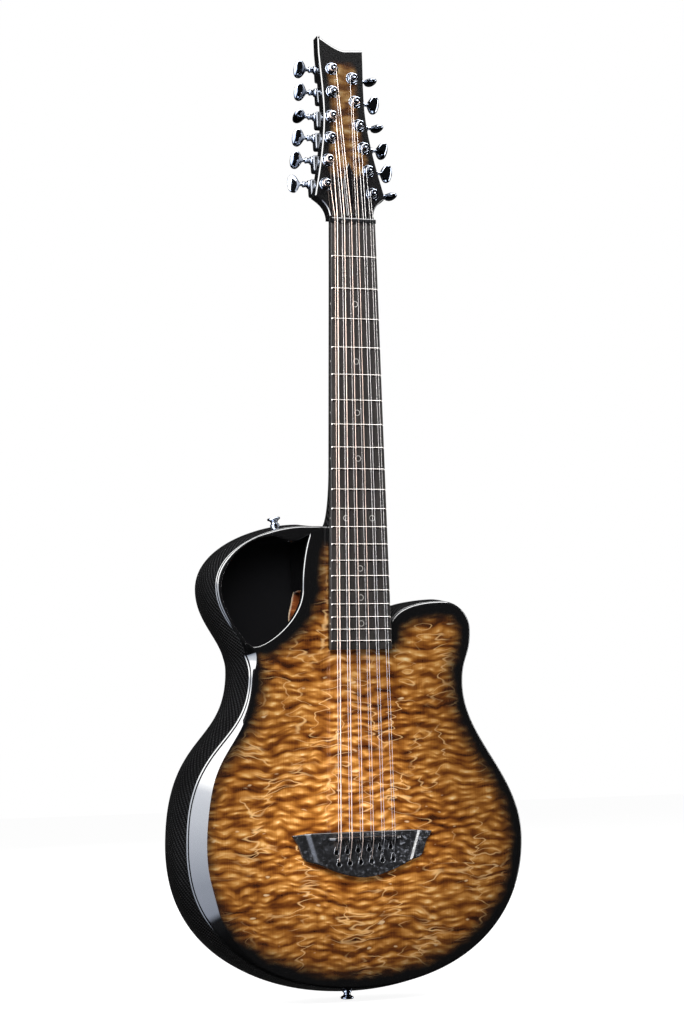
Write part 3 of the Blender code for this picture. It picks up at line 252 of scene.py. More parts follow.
def tube(path: Array, radii: Array, sides: int, across: Array) -> Array:
    """Rings of a round tube along a path.

    Each circle lies across the mean of the neighbouring runs. Its first axis is the given
    direction less its part along the path, and its second is their cross product.

    Args:
        path: Stations, (n, 3).
        radii: Radius at each station.
        sides: Points of each ring.
        across: A direction, or one at each station, that never runs along the path.

    Returns:
        Grid of points, (n, sides, 3).
    """
    runs = unit(np.diff(path, axis=0))
    along = unit(np.vstack([runs[:1], runs[:-1] + runs[1:], runs[-1:]]))
    across = np.broadcast_to(across, path.shape)
    first = unit(across - (across * along).sum(-1, keepdims=True) * along)
    second = np.cross(along, first)
    angle = full_turn(sides)[None, :, None]
    ring = np.cos(angle) * first[:, None] + np.sin(angle) * second[:, None]
    return path[:, None] + radii[:, None, None] * ring


def bead(outline: Array, depth: float, radius: float) -> Array:
    """Rings of a thin tube carried round a closed outline, given as (x, z), at a depth."""
    path = np.insert(np.vstack([outline, outline[:1]]), 1, depth, axis=1)
    return tube(path, np.full(len(path), radius), 8, np.array([0.0, 1.0, 0.0]))


def bend(t: Array, start: Array, corner: Array, end: Array) -> Array:
    """Quadratic curve between two places, with the corner as its handle."""
    return (1 - t) ** 2 * start + 2 * t * (1 - t) * corner + t * t * end


def rounded_path(path: Array, reach: float, steps: int = 5) -> Array:
    """Round the corners of a path.

    Each corner is bent between points up to reach, and 0.45 of the run, before and after it.

    Args:
        path: Corners, (n, 3).
        reach: Greatest distance from the corner.
        steps: Points on each curve.

    Returns:
        The stations.
    """
    runs = np.diff(path, axis=0)
    lengths = np.linalg.norm(runs, axis=1, keepdims=True)
    legs = np.minimum(reach, 0.45 * lengths) / lengths * runs
    t = np.linspace(0, 1, steps)[None, :, None]
    corner = path[1:-1, None]
    curves = bend(t, corner - legs[:-1, None], corner, corner + legs[1:, None])
    return np.vstack([path[:1], curves.reshape(-1, 3), path[-1:]])


def turned(profile: list[Pair] | Profile, sides: int, flats: int = 0) -> Array:
    """Rings of a profile turned round the third axis.

    A point (radius, height) goes to radius times the cosine and sine of the angle. With flats, the
    radius is divided by the cosine of the angle from the middle of the nearest flat.

    Args:
        profile: Points of (radius, height).
        sides: Points of each ring.
        flats: Number of flats, or 0 for a circle.

    Returns:
        Grid of points, (len(profile), sides, 3).
    """
    radius, height = np.array(profile, float).T
    angle = full_turn(sides)
    swell = np.ones(sides)
    if flats:
        part = 2 * np.pi / flats
        swell = 1 / np.cos((angle + part / 2) % part - part / 2)
    ring = circle(angle) * swell[:, None]
    flat = radius[:, None, None] * ring
    return joined(flat[..., 0], flat[..., 1], height[:, None])


class Shape:
    """Points, faces and weave coordinates of a mesh in the making, in millimetres."""

    def __init__(self) -> None:
        """Start with nothing."""
        self.points: list[Array] = []
        self.faces: list[list[int]] = []
        self.weave: list[Array] = []
        self.count = 0

    def faces_of(self, points: Array, faces: Array, weave: Array | None = None) -> "Shape":
        """Add points and faces of equal size.

        Args:
            points: Places, (n, 3).
            faces: Indices into the points, (m, corners).
            weave: Weave coordinates of each corner, or none for the points' own X and Z.

        Returns:
            This shape.
        """
        if weave is None:
            weave = points[faces][..., [0, 2]]
        self.points.append(points)
        self.faces += (faces + self.count).tolist()
        self.weave.append(weave.reshape(-1, 2))
        self.count += len(points)
        return self

    def grid(self, points: Array, wrap: bool = True, loop: bool = False, caps: str = "",
             weave: Array | None = None) -> "Shape":
        """Add the faces between neighbouring points of a grid.

        Args:
            points: Grid of places, (rows, columns, 3).
            wrap: Whether the last column joins the first.
            loop: Whether the last row joins the first.
            caps: "s" closes the first row with one face, "e" the last.
            weave: Weave coordinates, (rows, columns + 1, 2), with the closing column's own.

        Returns:
            This shape.
        """
        rows, columns = points.shape[:2]
        row = np.arange(rows if loop else rows - 1)[:, None]
        column = np.arange(columns if wrap else columns - 1)[None]
        corners = [(row, column), (row, column + 1), (row + 1, column + 1), (row + 1, column)]
        faces = np.stack([r % rows * columns + c % columns for r, c in corners], -1).reshape(-1, 4)
        if weave is not None:
            weave = np.stack([weave[r % rows, c] for r, c in corners], 2)
        self.faces_of(points.reshape(-1, 3), faces, weave)
        start = self.count - rows * columns
        for letter, first in (("s", start), ("e", self.count - columns)):
            if letter in caps:
                cap = points[0 if letter == "s" else -1]
                self.faces.append(list(range(first, first + columns)))
                self.weave.append(cap[:, [0, 2]])
        return self

    def placed(self, turn: Array, place: Array) -> "Shape":
        """Turn all points by a matrix whose columns are the new axes, then move them."""
        self.points = [points @ np.asarray(turn).T + place for points in self.points]
        return self

    def mesh(self, name: str, facing: Vector | None = None) -> Mesh:
        """Turn the shape into a mesh in metres with merged seams and faces that point outwards.

        Args:
            name: Name of the mesh.
            facing: For an open sheet, the direction that most of its faces look.

        Returns:
            The mesh, with its weave coordinates as a UV map.
        """
        mesh = bpy.data.meshes.new(name)
        mesh.from_pydata((np.vstack(self.points) * MM).tolist(), [], self.faces)
        layer = mesh.uv_layers.new(name="weave")
        layer.data.foreach_set("uv", (np.vstack(self.weave) * MM).ravel().astype(np.float32))
        bm = bmesh.new()
        bm.from_mesh(mesh)
        bmesh.ops.remove_doubles(bm, verts=bm.verts, dist=WELD)
        bmesh.ops.recalc_face_normals(bm, faces=bm.faces)
        if facing is not None:
            looks = sum((face.normal * face.calc_area() for face in bm.faces), Vector())
            if looks.dot(facing) < 0:
                bmesh.ops.reverse_faces(bm, faces=bm.faces)
        bm.to_mesh(mesh)
        bm.free()
        return mesh


def places_in(mesh: Mesh) -> Array:
    """Places of a mesh's points.

    Args:
        mesh: The mesh.

    Returns:
        Places in millimetres, (n, 3).
    """
    places = np.empty(len(mesh.vertices) * 3)
    mesh.vertices.foreach_get("co", places)
    return places.reshape(-1, 3) / MM


def mark_edge(mesh: Mesh, distance: Array) -> None:
    """Store each point's distance to the black edge, which the quilted maple reads."""
    layer = mesh.attributes.new("edge", "FLOAT", "POINT")
    layer.data.foreach_set("value", (distance * MM).astype(np.float32))


def flatten(mesh: Mesh, direction: Place) -> None:
    """Shade faces that look exactly along a direction flat, so that no edge bends their light.

    Args:
        mesh: The mesh.
        direction: The direction, 1 long.
    """
    normals = np.empty(len(mesh.polygons) * 3, np.float32)
    mesh.polygons.foreach_get("normal", normals)
    level = normals.reshape(-1, 3) @ np.array(direction, np.float32)
    mesh.polygons.foreach_set("use_smooth", level < LOOKS_ALONG)
    mesh.update()


def link(name: str, data: bpy.types.ID) -> bpy.types.Object:
    """Put data in the scene as an object.

    Args:
        name: Name of the object.
        data: Mesh, camera or light.

    Returns:
        The object.
    """
    item = bpy.data.objects.new(name, data)
    bpy.context.scene.collection.objects.link(item)
    return item


def cut_from(mesh: Mesh, cutters: list[Mesh]) -> Mesh:
    """Take the solids of some meshes out of a solid mesh.

    Args:
        mesh: The solid to cut.
        cutters: Solids to take out of it, one after another.

    Returns:
        The mesh that is left.
    """
    item = link("cut", mesh)
    tools = [link(f"cutter_{number}", cutter) for number, cutter in enumerate(cutters)]
    for tool in tools:
        modifier = item.modifiers.new("cut", "BOOLEAN")
        modifier.operation = "DIFFERENCE"
        modifier.solver = "EXACT"
        modifier.object = tool
    bpy.context.view_layer.update()
    graph = bpy.context.evaluated_depsgraph_get()
    result = bpy.data.meshes.new_from_object(item.evaluated_get(graph))
    for used in (item, *tools):
        bpy.data.objects.remove(used)
    return result


def rounded_block(name: str, low: tuple, high: tuple, radius: float, steps: int = 4) -> Mesh:
    """Make a block with rounded edges.

    Args:
        name: Name of the mesh.
        low: Lowest corner in millimetres.
        high: Highest corner.
        radius: Radius of the edges.
        steps: Faces across each rounding.

    Returns:
        The mesh, in metres.
    """
    bm = bmesh.new()
    bmesh.ops.create_cube(bm, size=1.0)
    bmesh.ops.scale(bm, vec=[(b - a) * MM for a, b in zip(low, high)], verts=bm.verts)
    bmesh.ops.translate(bm, vec=[(a + b) / 2 * MM for a, b in zip(low, high)], verts=bm.verts)
    bmesh.ops.bevel(bm, geom=bm.edges[:], offset=radius * MM, segments=steps, profile=0.5, affect="EDGES")
    mesh = bpy.data.meshes.new(name)
    bm.to_mesh(mesh)
    bm.free()
    return mesh


class Graph:
    """Node tree of a material or world, with short calls for the nodes that the finishes share."""

    def __init__(self, owner: bpy.types.Material | bpy.types.World,
                 shader: str = "Principled BSDF") -> None:
        """Turn on the nodes and find the shader.

        Args:
            owner: The material or world.
            shader: Name of its shader node.
        """
        owner.use_nodes = True
        self.tree = owner.node_tree
        self.shader = self.tree.nodes[shader]

    def feed(self, socket: Socket, value: Value) -> None:
        """Link a socket to another, or set its constant.

        Args:
            socket: Input to feed.
            value: Output of another node, or a number, vector or colour.
        """
        if isinstance(value, Socket):
            self.tree.links.new(value, socket)
        elif isinstance(value, tuple) and len(value) == 3 and socket.type == "RGBA":
            socket.default_value = (*value, 1.0)
        else:
            socket.default_value = value

    def set(self, **inputs: Value) -> None:
        """Feed the shader's sockets, named with underscores for spaces."""
        for name, value in inputs.items():
            self.feed(self.shader.inputs[name.replace("_", " ")], value)

    def node(self, kind: str, inputs: dict, **settings: object) -> bpy.types.Node:
        """Add a node.

        Args:
            kind: Blender's name of the node's type, without ShaderNode.
            inputs: Values of its inputs, by name or number.
            settings: Values of its other properties.

        Returns:
            The node.
        """
        node = self.tree.nodes.new("ShaderNode" + kind)
        for name, value in settings.items():
            setattr(node, name, value)
        for name, value in inputs.items():
            self.feed(node.inputs[name], value)
        return node

    def math(self, operation: str, a: Value, b: Value = 0.0, c: Value = 0.0) -> Socket:
        """One sum of up to three values."""
        return self.node("Math", {0: a, 1: b, 2: c}, operation=operation).outputs[0]

    def times(self, a: Value, b: Value, plus: Value | None = None) -> Socket:
        """Multiply two values.

        Args:
            a: First value.
            b: Second value.
            plus: A third one, added to the product.

        Returns:
            The result.
        """
        if plus is None:
            return self.math("MULTIPLY", a, b)
        return self.math("MULTIPLY_ADD", a, b, plus)

    def axes(self, vector: Value) -> tuple:
        """The three parts of a vector."""
        return tuple(self.node("SeparateXYZ", {0: vector}).outputs)

    def vector(self, x: Value = 0.0, y: Value = 0.0, z: Value = 0.0) -> Socket:
        """A vector of three values."""
        return self.node("CombineXYZ", {0: x, 1: y, 2: z}).outputs[0]

    def place(self) -> Socket:
        """Place on the guitar, in metres."""
        return self.node("TexCoord", {}).outputs["Object"]

    def weave(self) -> Socket:
        """Place in the cloth, from the piece's own weave coordinates."""
        return self.node("UVMap", {}, uv_map="weave").outputs[0]

    def scaled(self, vector: Value, scale: Place) -> Socket:
        """A vector with each part multiplied."""
        return self.node("VectorMath", {0: vector, 1: scale}, operation="MULTIPLY").outputs[0]

    def noise(self, vector: Value, scale: float, detail: float = 2.0, roughness: float = 0.5,
              distortion: float = 0.0) -> Socket:
        """Soft noise.

        Args:
            vector: Place to take it at.
            scale: Patches to a unit of length.
            detail: Finer layers added.
            roughness: Strength of the finer layers.
            distortion: How far the patches are pulled about.

        Returns:
            Value between 0 and 1.
        """
        inputs = {"Vector": vector, "Scale": scale, "Detail": detail, "Roughness": roughness,
                  "Distortion": distortion}
        return self.node("TexNoise", inputs).outputs[0]

    def shifted(self, vector: Value, scale: float, amount: float) -> Socket:
        """Move a vector by soft noise.

        Args:
            vector: The vector.
            scale: Scale of the noise.
            amount: Twice the greatest move along each axis.

        Returns:
            The moved vector.
        """
        inputs = {"Vector": vector, "Scale": scale, "Detail": 2.0}
        inputs = {0: self.node("TexNoise", inputs).outputs[1], 1: (0.5, 0.5, 0.5)}
        centred = self.node("VectorMath", inputs, operation="SUBTRACT").outputs[0]
        inputs = {0: centred, 1: (amount, amount, amount), 2: vector}
        return self.node("VectorMath", inputs, operation="MULTIPLY_ADD").outputs[0]

    def span(self, value: Value, low: float, high: float, to_low: float = 0.0, to_high: float = 1.0,
             kind: str = "SMOOTHSTEP") -> Socket:
        """Carry a value from one range to another, held at its ends."""
        inputs = {"Value": value, "From Min": low, "From Max": high, "To Min": to_low, "To Max": to_high}
        return self.node("MapRange", inputs, interpolation_type=kind).outputs[0]

    def mix(self, share: Value, a: Value, b: Value, blend: str = "MIX") -> Socket:
        """Mix two colours, with a share of the second."""
        inputs = {0: share, 6: a, 7: b}
        return self.node("Mix", inputs, data_type="RGBA", blend_type=blend).outputs[2]

    def ramp(self, value: Value, stops: list[tuple[float, Colour]]) -> Socket:
        """Turn a value into a colour.

        Args:
            value: The value, from 0 to 1.
            stops: Rising places, each with its colour. Between two stops the colour goes straight.

        Returns:
            The colour.
        """
        node = self.node("ValToRGB", {0: value})
        elements = node.color_ramp.elements
        for element in list(elements)[1:]:
            elements.remove(element)
        for number, (place, colour) in enumerate(stops):
            element = elements[0] if number == 0 else elements.new(place)
            element.position = place
            element.color = (*colour, 1.0)
        return node.outputs[0]

    def bump(self, height: Value, strength: float, distance: float) -> None:
        """Give the shader relief from a height in metres over distance."""
        node = self.node("Bump", {"Height": height, "Strength": strength, "Distance": distance})
        self.feed(self.shader.inputs["Normal"], node.outputs[0])


@dataclass(frozen=True)
class Finish:
    """A finish: its slot in the record, its plain values, and nodes that its kinds add."""

    name: str
    slot: Slot
    colour: Colour
    roughness: float
    metallic: float = 0.0
    coat: float = 0.0
    coat_roughness: float = 0.03
    coat_bend: float = 1.9
    base_gloss: float = 0.5
    grain: float = 900.0

    def material(self) -> bpy.types.Material:
        """Make the finish's material at its first use.

        Returns:
            The material.
        """
        if self.name in bpy.data.materials:
            return bpy.data.materials[self.name]
        material = bpy.data.materials.new(self.name)
        graph = Graph(material)
        graph.set(Roughness=self.roughness, Metallic=self.metallic, Coat_Weight=self.coat,
                  Coat_Roughness=self.coat_roughness, Coat_IOR=self.coat_bend,
                  Specular_IOR_Level=self.base_gloss)
        self.paint(graph)
        return material

    def shade(self, factor: float) -> Colour:
        """The finish's colour, lighter or darker by a factor."""
        return tuple(part * factor for part in self.colour)

    def paint(self, graph: Graph) -> None:
        """Plain finish: a colour that varies a little, with fine wear in its gloss.

        Args:
            graph: Node tree to fill.
        """
        wear = graph.noise(graph.place(), self.grain, 3.0)
        graph.set(Base_Color=graph.mix(wear, self.shade(0.82), self.colour))
        graph.set(Roughness=graph.span(wear, 0.3, 0.7, self.roughness * 0.8, self.roughness * 1.2))


@dataclass(frozen=True)
class CarbonTwill(Finish):
    """Black carbon cloth in two by two twill under a clear coat."""

    tow: float = 0.0018
    # Colour of the painted sheen on the crowns of the tows.
    light: Colour = (0.060, 0.061, 0.065)
    base_gloss: float = 0.12

    def paint(self, graph: Graph) -> None:
        """Tows cross in steps of one along a diagonal of four.

        A crossing shows the lengthwise tow where the step number, taken modulo 4, is below 2. Each
        tow is a round ridge across its width, which gives the crossings their relief, and a painted
        sheen lies along the crowns of the lengthwise tows, lighter in soft patches.

        Args:
            graph: Node tree to fill.
        """
        u, v, _ = graph.axes(graph.scaled(graph.weave(), (1 / self.tow, 1 / self.tow, 0.0)))
        step = graph.math("ADD", graph.math("FLOOR", u), graph.math("FLOOR", v))
        over = graph.math("LESS_THAN", graph.math("FLOORED_MODULO", step, 4.0), 2.0)
        ridges = [graph.math("SINE", graph.times(graph.math("FRACT", part), math.pi)) for part in (u, v)]
        ridge = graph.times(over, graph.math("SUBTRACT", *ridges), ridges[1])
        patch = graph.span(graph.noise(graph.place(), 7.0, 2.0), 0.38, 0.62)
        patch = graph.times(patch, 0.7, 0.3)
        # Painted sheen: the lengthwise tows are lighter along their crowns, in soft patches, as if their
        # fibres caught the light.
        painted_sheen = graph.times(graph.times(over, ridge), patch)
        graph.set(Base_Color=graph.mix(painted_sheen, self.colour, self.light))
        graph.bump(ridge, 0.25, 0.0001)


@dataclass(frozen=True)
class QuiltedMaple(Finish):
    """Quilted maple, stained amber, fading to a black edge."""

    black: Colour = (0.0032, 0.0032, 0.0036)
    tint: Colour = (1.0, 1.0, 1.0)
    fade_from: float = 0.013
    fade_to: float = 0.037
    ragged: float = 0.012
    upper_burst: float = 0.007
    highlight_line_strength: float = 0.72
    pillow: Pair = (52.0, 132.0)
    base_gloss: float = 0.12

    def paint(self, graph: Graph) -> None:
        """Pillows of figure lie across the wood.

        They are soft cells stretched sideways and bent by wider noise. Their height sets the tone,
        and the difference of their height between two levels is painted light and shade, as if lit
        from above. Painted highlight lines are contours of wide noise pushed sideways into fingers,
        and painted glints sit where a noise peaks. Broad bands and fine upright grain vary it. The
        wood is palest in the middle and on the bass side, partly from the burst's own fade towards
        the edge and partly as a painted pool of light. The black edge comes from each point's
        distance to the outline.

        Args:
            graph: Node tree to fill.
        """
        wide, tall = self.pillow
        place = graph.place()
        bent = graph.shifted(graph.shifted(place, 20.0, 0.022), 70.0, 0.004)
        x, _, z = graph.axes(bent)
        across = graph.times(x, wide)
        rise = []
        for lift in (0.0, 0.22):
            point = graph.vector(across, graph.times(z, tall, lift))
            cell = {"Vector": point, "Scale": 1.0, "Smoothness": 0.6, "Randomness": 1.0}
            cell = graph.node("TexVoronoi", cell, voronoi_dimensions="2D", feature="SMOOTH_F1")
            rise.append(graph.times(cell.outputs["Distance"], -1.0, 1.0))
        # Painted light and shade: the pillows' height difference between two levels, as if lit from above.
        slope = graph.math("SUBTRACT", rise[0], rise[1])
        ribs = graph.noise(graph.scaled(bent, (60.0, 1.0, 290.0)), 1.0, 1.5)
        bands = graph.noise(graph.scaled(place, (9.0, 1.0, 24.0)), 1.0, 2.0)
        grain = graph.noise(graph.scaled(place, (1150.0, 1.0, 38.0)), 1.0, 2.0)
        tone = graph.times(slope, 0.78, graph.times(rise[0], 0.48, 0.15))
        for part, amount in ((ribs, 0.62), (bands, 0.55), (grain, 0.24)):
            tone = graph.math("ADD", tone, graph.times(part, amount, -amount / 2))
        wood = graph.ramp(tone, [
            (0.05, (0.045, 0.010, 0.0015)), (0.25, (0.16, 0.042, 0.0045)),
            (0.47, (0.37, 0.130, 0.018)), (0.66, (0.62, 0.275, 0.060)),
            (0.82, (0.85, 0.49, 0.17)), (1.0, (1.0, 0.80, 0.48))])
        # Painted highlight lines along contours of the figure, broken into pieces.
        broken = graph.span(graph.noise(place, 24.0, 1.0), 0.40, 0.62, 0.0, self.highlight_line_strength)
        layers = (((15.0, 1.0, 120.0), (14.0, 1.0, 7.0)), ((24.0, 1.0, 150.0), (23.0, 1.0, 13.0)))
        for flat_scale, wide_scale in layers:
            fingers = graph.noise(graph.scaled(bent, flat_scale), 1.0, 0.3)
            rolling = graph.noise(graph.scaled(place, wide_scale), 1.0, 0.0)
            contour = graph.times(fingers, 0.42, rolling)
            away = graph.math("ABSOLUTE", graph.math("SUBTRACT", contour, 0.71))
            painted_highlight_line = graph.times(graph.span(away, 0.0, 0.019, 1.0, 0.0), broken)
            wood = graph.mix(painted_highlight_line, wood, (0.98, 0.60, 0.25))
        # Painted glints where a noise peaks.
        painted_glint = graph.span(graph.noise(graph.scaled(place, (70.0, 1.0, 150.0)), 1.0, 1.0), 0.70, 0.79)
        wood = graph.mix(graph.times(painted_glint, 0.7), wood, (1.0, 0.72, 0.40))
        edge = graph.node("Attribute", {}, attribute_name="edge").outputs["Fac"]
        side, _, height = graph.axes(place)
        # Partly the burst's own fade towards the edge, partly a painted pool of light: paler in the middle
        # and on the bass side.
        pale = graph.times(graph.span(edge, 0.03, 0.14, 0.72, 1.42),
                          graph.span(side, -0.15, 0.15, 1.14, 0.92))
        wood = graph.mix(1.0, wood, graph.vector(pale, pale, pale), "MULTIPLY")
        wood = graph.mix(1.0, wood, self.tint, "MULTIPLY")
        edge = graph.times(graph.span(height, 0.37, 0.45), -self.upper_burst, edge)
        uneven = graph.times(graph.noise(place, 60.0, 3.0), self.ragged, edge)
        fade = graph.span(uneven, self.fade_from, self.fade_to)
        graph.set(Base_Color=graph.mix(fade, self.black, wood))


@dataclass(frozen=True)
class ForgedCarbon(Finish):
    """Chopped carbon flakes pressed into a glossy block."""

    flake: float = 480.0

    def paint(self, graph: Graph) -> None:
        """Two layers of flakes, each with its own grey, on cells stretched two different ways.

        Args:
            graph: Node tree to fill.
        """
        place = graph.shifted(graph.place(), 90.0, 0.006)
        layers = []
        for stretch in ((1.0, 1.0, 0.55), (0.6, 1.0, 1.3)):
            cells = {"Vector": graph.scaled(place, stretch), "Scale": self.flake, "Randomness": 1.0}
            colour = graph.node("TexVoronoi", cells).outputs["Color"]
            layers.append(graph.axes(colour)[0])
        grey = graph.times(layers[0], layers[1])
        fibres = graph.noise(graph.scaled(place, (2600.0, 1.0, 400.0)), 1.0, 2.0)
        # Painted light: the tone rises towards the treble side of the bridge.
        side, _, _ = graph.axes(graph.place())
        tone = graph.times(fibres, 0.2, graph.math("SUBTRACT", grey, 0.1))
        tone = graph.times(tone, graph.span(side, -0.03, 0.075, 0.8, 1.35))
        graph.set(Base_Color=graph.ramp(tone, [
            (0.0, (0.005, 0.005, 0.006)), (0.3, self.colour),
            (0.6, self.shade(2.6)), (0.95, self.shade(12.0))]))
        graph.set(Roughness=graph.span(grey, 0.0, 1.0, self.roughness * 1.4, self.roughness * 0.7))
        graph.bump(grey, 0.1, 0.0001)


@dataclass(frozen=True)
class StreakedBoard(Finish):
    """Dark pressed board with streaks that run along the neck."""

    def paint(self, graph: Graph) -> None:
        """Noise stretched along Z gives streaks, and finer noise gives pores.

        Args:
            graph: Node tree to fill.
        """
        streak = graph.noise(graph.scaled(graph.place(), (320.0, 60.0, 9.0)), 1.0, 4.0, 0.6, 0.6)
        pores = graph.noise(graph.scaled(graph.place(), (1800.0, 900.0, 160.0)), 1.0, 2.0)
        tone = graph.times(pores, 0.35, graph.math("SUBTRACT", streak, 0.17))
        graph.set(Base_Color=graph.ramp(tone, [
            (0.25, self.shade(0.55)), (0.5, self.colour), (0.75, self.shade(2.2))]))
        graph.bump(pores, 0.15, 0.0001)


@dataclass(frozen=True)
class WoundWire(Finish):
    """Bronze wrap wire wound round a core."""

    pitch: float = 0.00045

    def paint(self, graph: Graph) -> None:
        """Ridges every pitch along the string, whose length is the weave's second coordinate.

        Args:
            graph: Node tree to fill.
        """
        _, length, _ = graph.axes(graph.weave())
        turn = graph.times(length, 2 * math.pi / self.pitch)
        ridge = graph.times(graph.math("SINE", turn), 0.5, 0.5)
        # Painted shade: the grooves between the turns are darker.
        graph.set(Base_Color=graph.mix(ridge, self.shade(0.45), self.colour))
        graph.bump(ridge, 0.3, 0.0001)


@dataclass(frozen=True)
class RedWood(Finish):
    """Figured red-brown wood of the plaque."""

    def paint(self, graph: Graph) -> None:
        """Wavy bands of noise across the plaque in two tones.

        Args:
            graph: Node tree to fill.
        """
        wavy = graph.scaled(graph.shifted(graph.place(), 30.0, 0.02), (60.0, 1.0, 190.0))
        stops = [(0.3, self.shade(0.25)), (0.55, self.colour), (0.75, (0.75, 0.36, 0.12))]
        graph.set(Base_Color=graph.ramp(graph.noise(wavy, 1.0, 3.0), stops))


CARBON = CarbonTwill("carbon_twill", Slot.GLOSS_CARBON, (0.0034, 0.0034, 0.0038), 0.35, coat=1.0)
BLACK = Finish("black_lacquer", Slot.GLOSS_CARBON, (0.0034, 0.0034, 0.0038), 0.25, coat=1.0, base_gloss=0.1)
MAPLE = QuiltedMaple("quilted_maple", Slot.FIGURED_TOP, (0.32, 0.14, 0.034), 0.4, coat=1.0)
HEAD_MAPLE = QuiltedMaple(
    "headstock_maple", Slot.FIGURED_TOP, (0.2, 0.12, 0.05), 0.4, coat=1.0,
    tint=(0.56, 0.68, 0.98), fade_from=0.008, fade_to=0.0165, ragged=0.004,
    upper_burst=0.0, highlight_line_strength=0.0, pillow=(60.0, 80.0))
BOARD = StreakedBoard("streaked_board", Slot.DARK_BOARD, (0.019, 0.0165, 0.0155), 0.42)
FORGED = ForgedCarbon("forged_carbon_block", Slot.FORGED_CARBON, (0.020, 0.021, 0.024), 0.32, coat=0.5)
# A pale metallic copy of the bridge's carbon: a painted highlight on the keyholes' countersunk edges.
KEYHOLE_HIGHLIGHT = Finish("keyhole_highlight_edge", Slot.FORGED_CARBON, (0.34, 0.345, 0.36), 0.25, metallic=0.8)
BONE = Finish("dark_bone_bar", Slot.DARK_BONE, (0.012, 0.012, 0.014), 0.3, coat=0.3)
CHROME = Finish("polished_chrome", Slot.CHROME, (0.38, 0.42, 0.50), 0.11, metallic=1.0, grain=300.0)
CASTING = Finish("chromed_casting", Slot.CAST_HOUSING, (0.10, 0.105, 0.115), 0.3, metallic=1.0, grain=500.0)
FRET_WIRE = Finish("fret_wire", Slot.DARK_BOARD, (0.36, 0.34, 0.32), 0.17, metallic=1.0)
INLAY = Finish("pale_inlay", Slot.DARK_BOARD, (0.72, 0.70, 0.66), 0.35)
STEEL = Finish("rod_steel", Slot.STEEL, (0.45, 0.45, 0.46), 0.35, metallic=1.0)
WIRE = Finish("drawn_wire", Slot.PLAIN_WIRE, (0.80, 0.77, 0.76), 0.32, metallic=1.0)
BRONZE = WoundWire("bronze_wrap", Slot.BRONZE_WOUND, (0.88, 0.70, 0.60), 0.38, metallic=1.0)
INNER = Finish("raw_carbon", Slot.PLATE_CARBON, (0.008, 0.008, 0.009), 0.5, base_gloss=0.15)
PLAQUE = RedWood("plaque_wood", Slot.FIGURED_TOP, (0.30, 0.075, 0.018), 0.35, coat=0.3)
PLAQUE_RIM = Finish("plaque_edge", Slot.FIGURED_TOP, (0.62, 0.45, 0.28), 0.45)


def add_piece(name: str, form: Shape | Mesh, look: Finish, stands_for: tuple[str, ...] = (),
              body: str = "instrument", sharp: float = 35.0) -> bpy.types.Object:
    """Put a shape in the scene as a piece of the guitar.

    Args:
        name: Name of the piece.
        form: Its shape or mesh, with its place in its points.
        look: Its finish.
        stands_for: CAD nodes that it stands for.
        body: Body that it moves with.
        sharp: Edges sharper than this many degrees stay sharp.

    Returns:
        The new object.
    """
    mesh = form.mesh(name) if isinstance(form, Shape) else form
    item = link(name, mesh)
    mesh.materials.clear()
    mesh.materials.append(look.material())
    mesh.shade_smooth()
    mesh.set_sharp_from_angle(angle=math.radians(sharp))
    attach(item, body)
    if stands_for:
        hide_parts(*stands_for)
    LOG.info("%s: %d faces, %s, on %s", name, len(mesh.polygons), look.name, body)
    return item


def wall(item: bpy.types.Object, thickness: float) -> None:
    """Give an open sheet a wall on its inner side, with its thickness in millimetres."""
    modifier = item.modifiers.new("wall", "SOLIDIFY")
    modifier.thickness, modifier.offset = thickness * MM, -1.0


@dataclass(frozen=True)
class Neck:
    """Sizes that the neck shares with the body and the strings."""

    nut_z: float = 822.8
    scale_length: float = 648.0
    fret_count: int = 20
    nut_width: float = 50.0
    width_at_last_fret: float = 68.0
    fret_y: float = -67.0
    fret_height: float = 1.1
    board_thickness: float = 6.0
    board_past_last_fret: float = 8.6
    gap: float = 0.3

    def below(self, distance: float) -> float:
        """Height of a place that is this far below the nut."""
        return self.nut_z - distance

    def fret(self, number: Array | int) -> Array:
        """Distance of a fret below the nut: the scale length times 1 less 2 to the number / -12."""
        return self.scale_length * (1 - 2.0 ** (-np.asarray(number) / 12))

    def half_width(self, distance: Array | float) -> Array | float:
        """Half the board's width at a distance below the nut."""
        grown = (self.width_at_last_fret - self.nut_width) * distance / float(self.fret(self.fret_count))
        return (self.nut_width + grown) / 2

    @property
    def board_y(self) -> float:
        """Depth of the board's face."""
        return self.fret_y + self.fret_height

    @property
    def board_end(self) -> float:
        """Distance of the board's end below the nut."""
        return float(self.fret(self.fret_count)) + self.board_past_last_fret

    @property
    def face_y(self) -> float:
        """Depth of the neck's flat face, on which the board lies."""
        return self.board_y + self.board_thickness + self.gap


NECK = Neck()


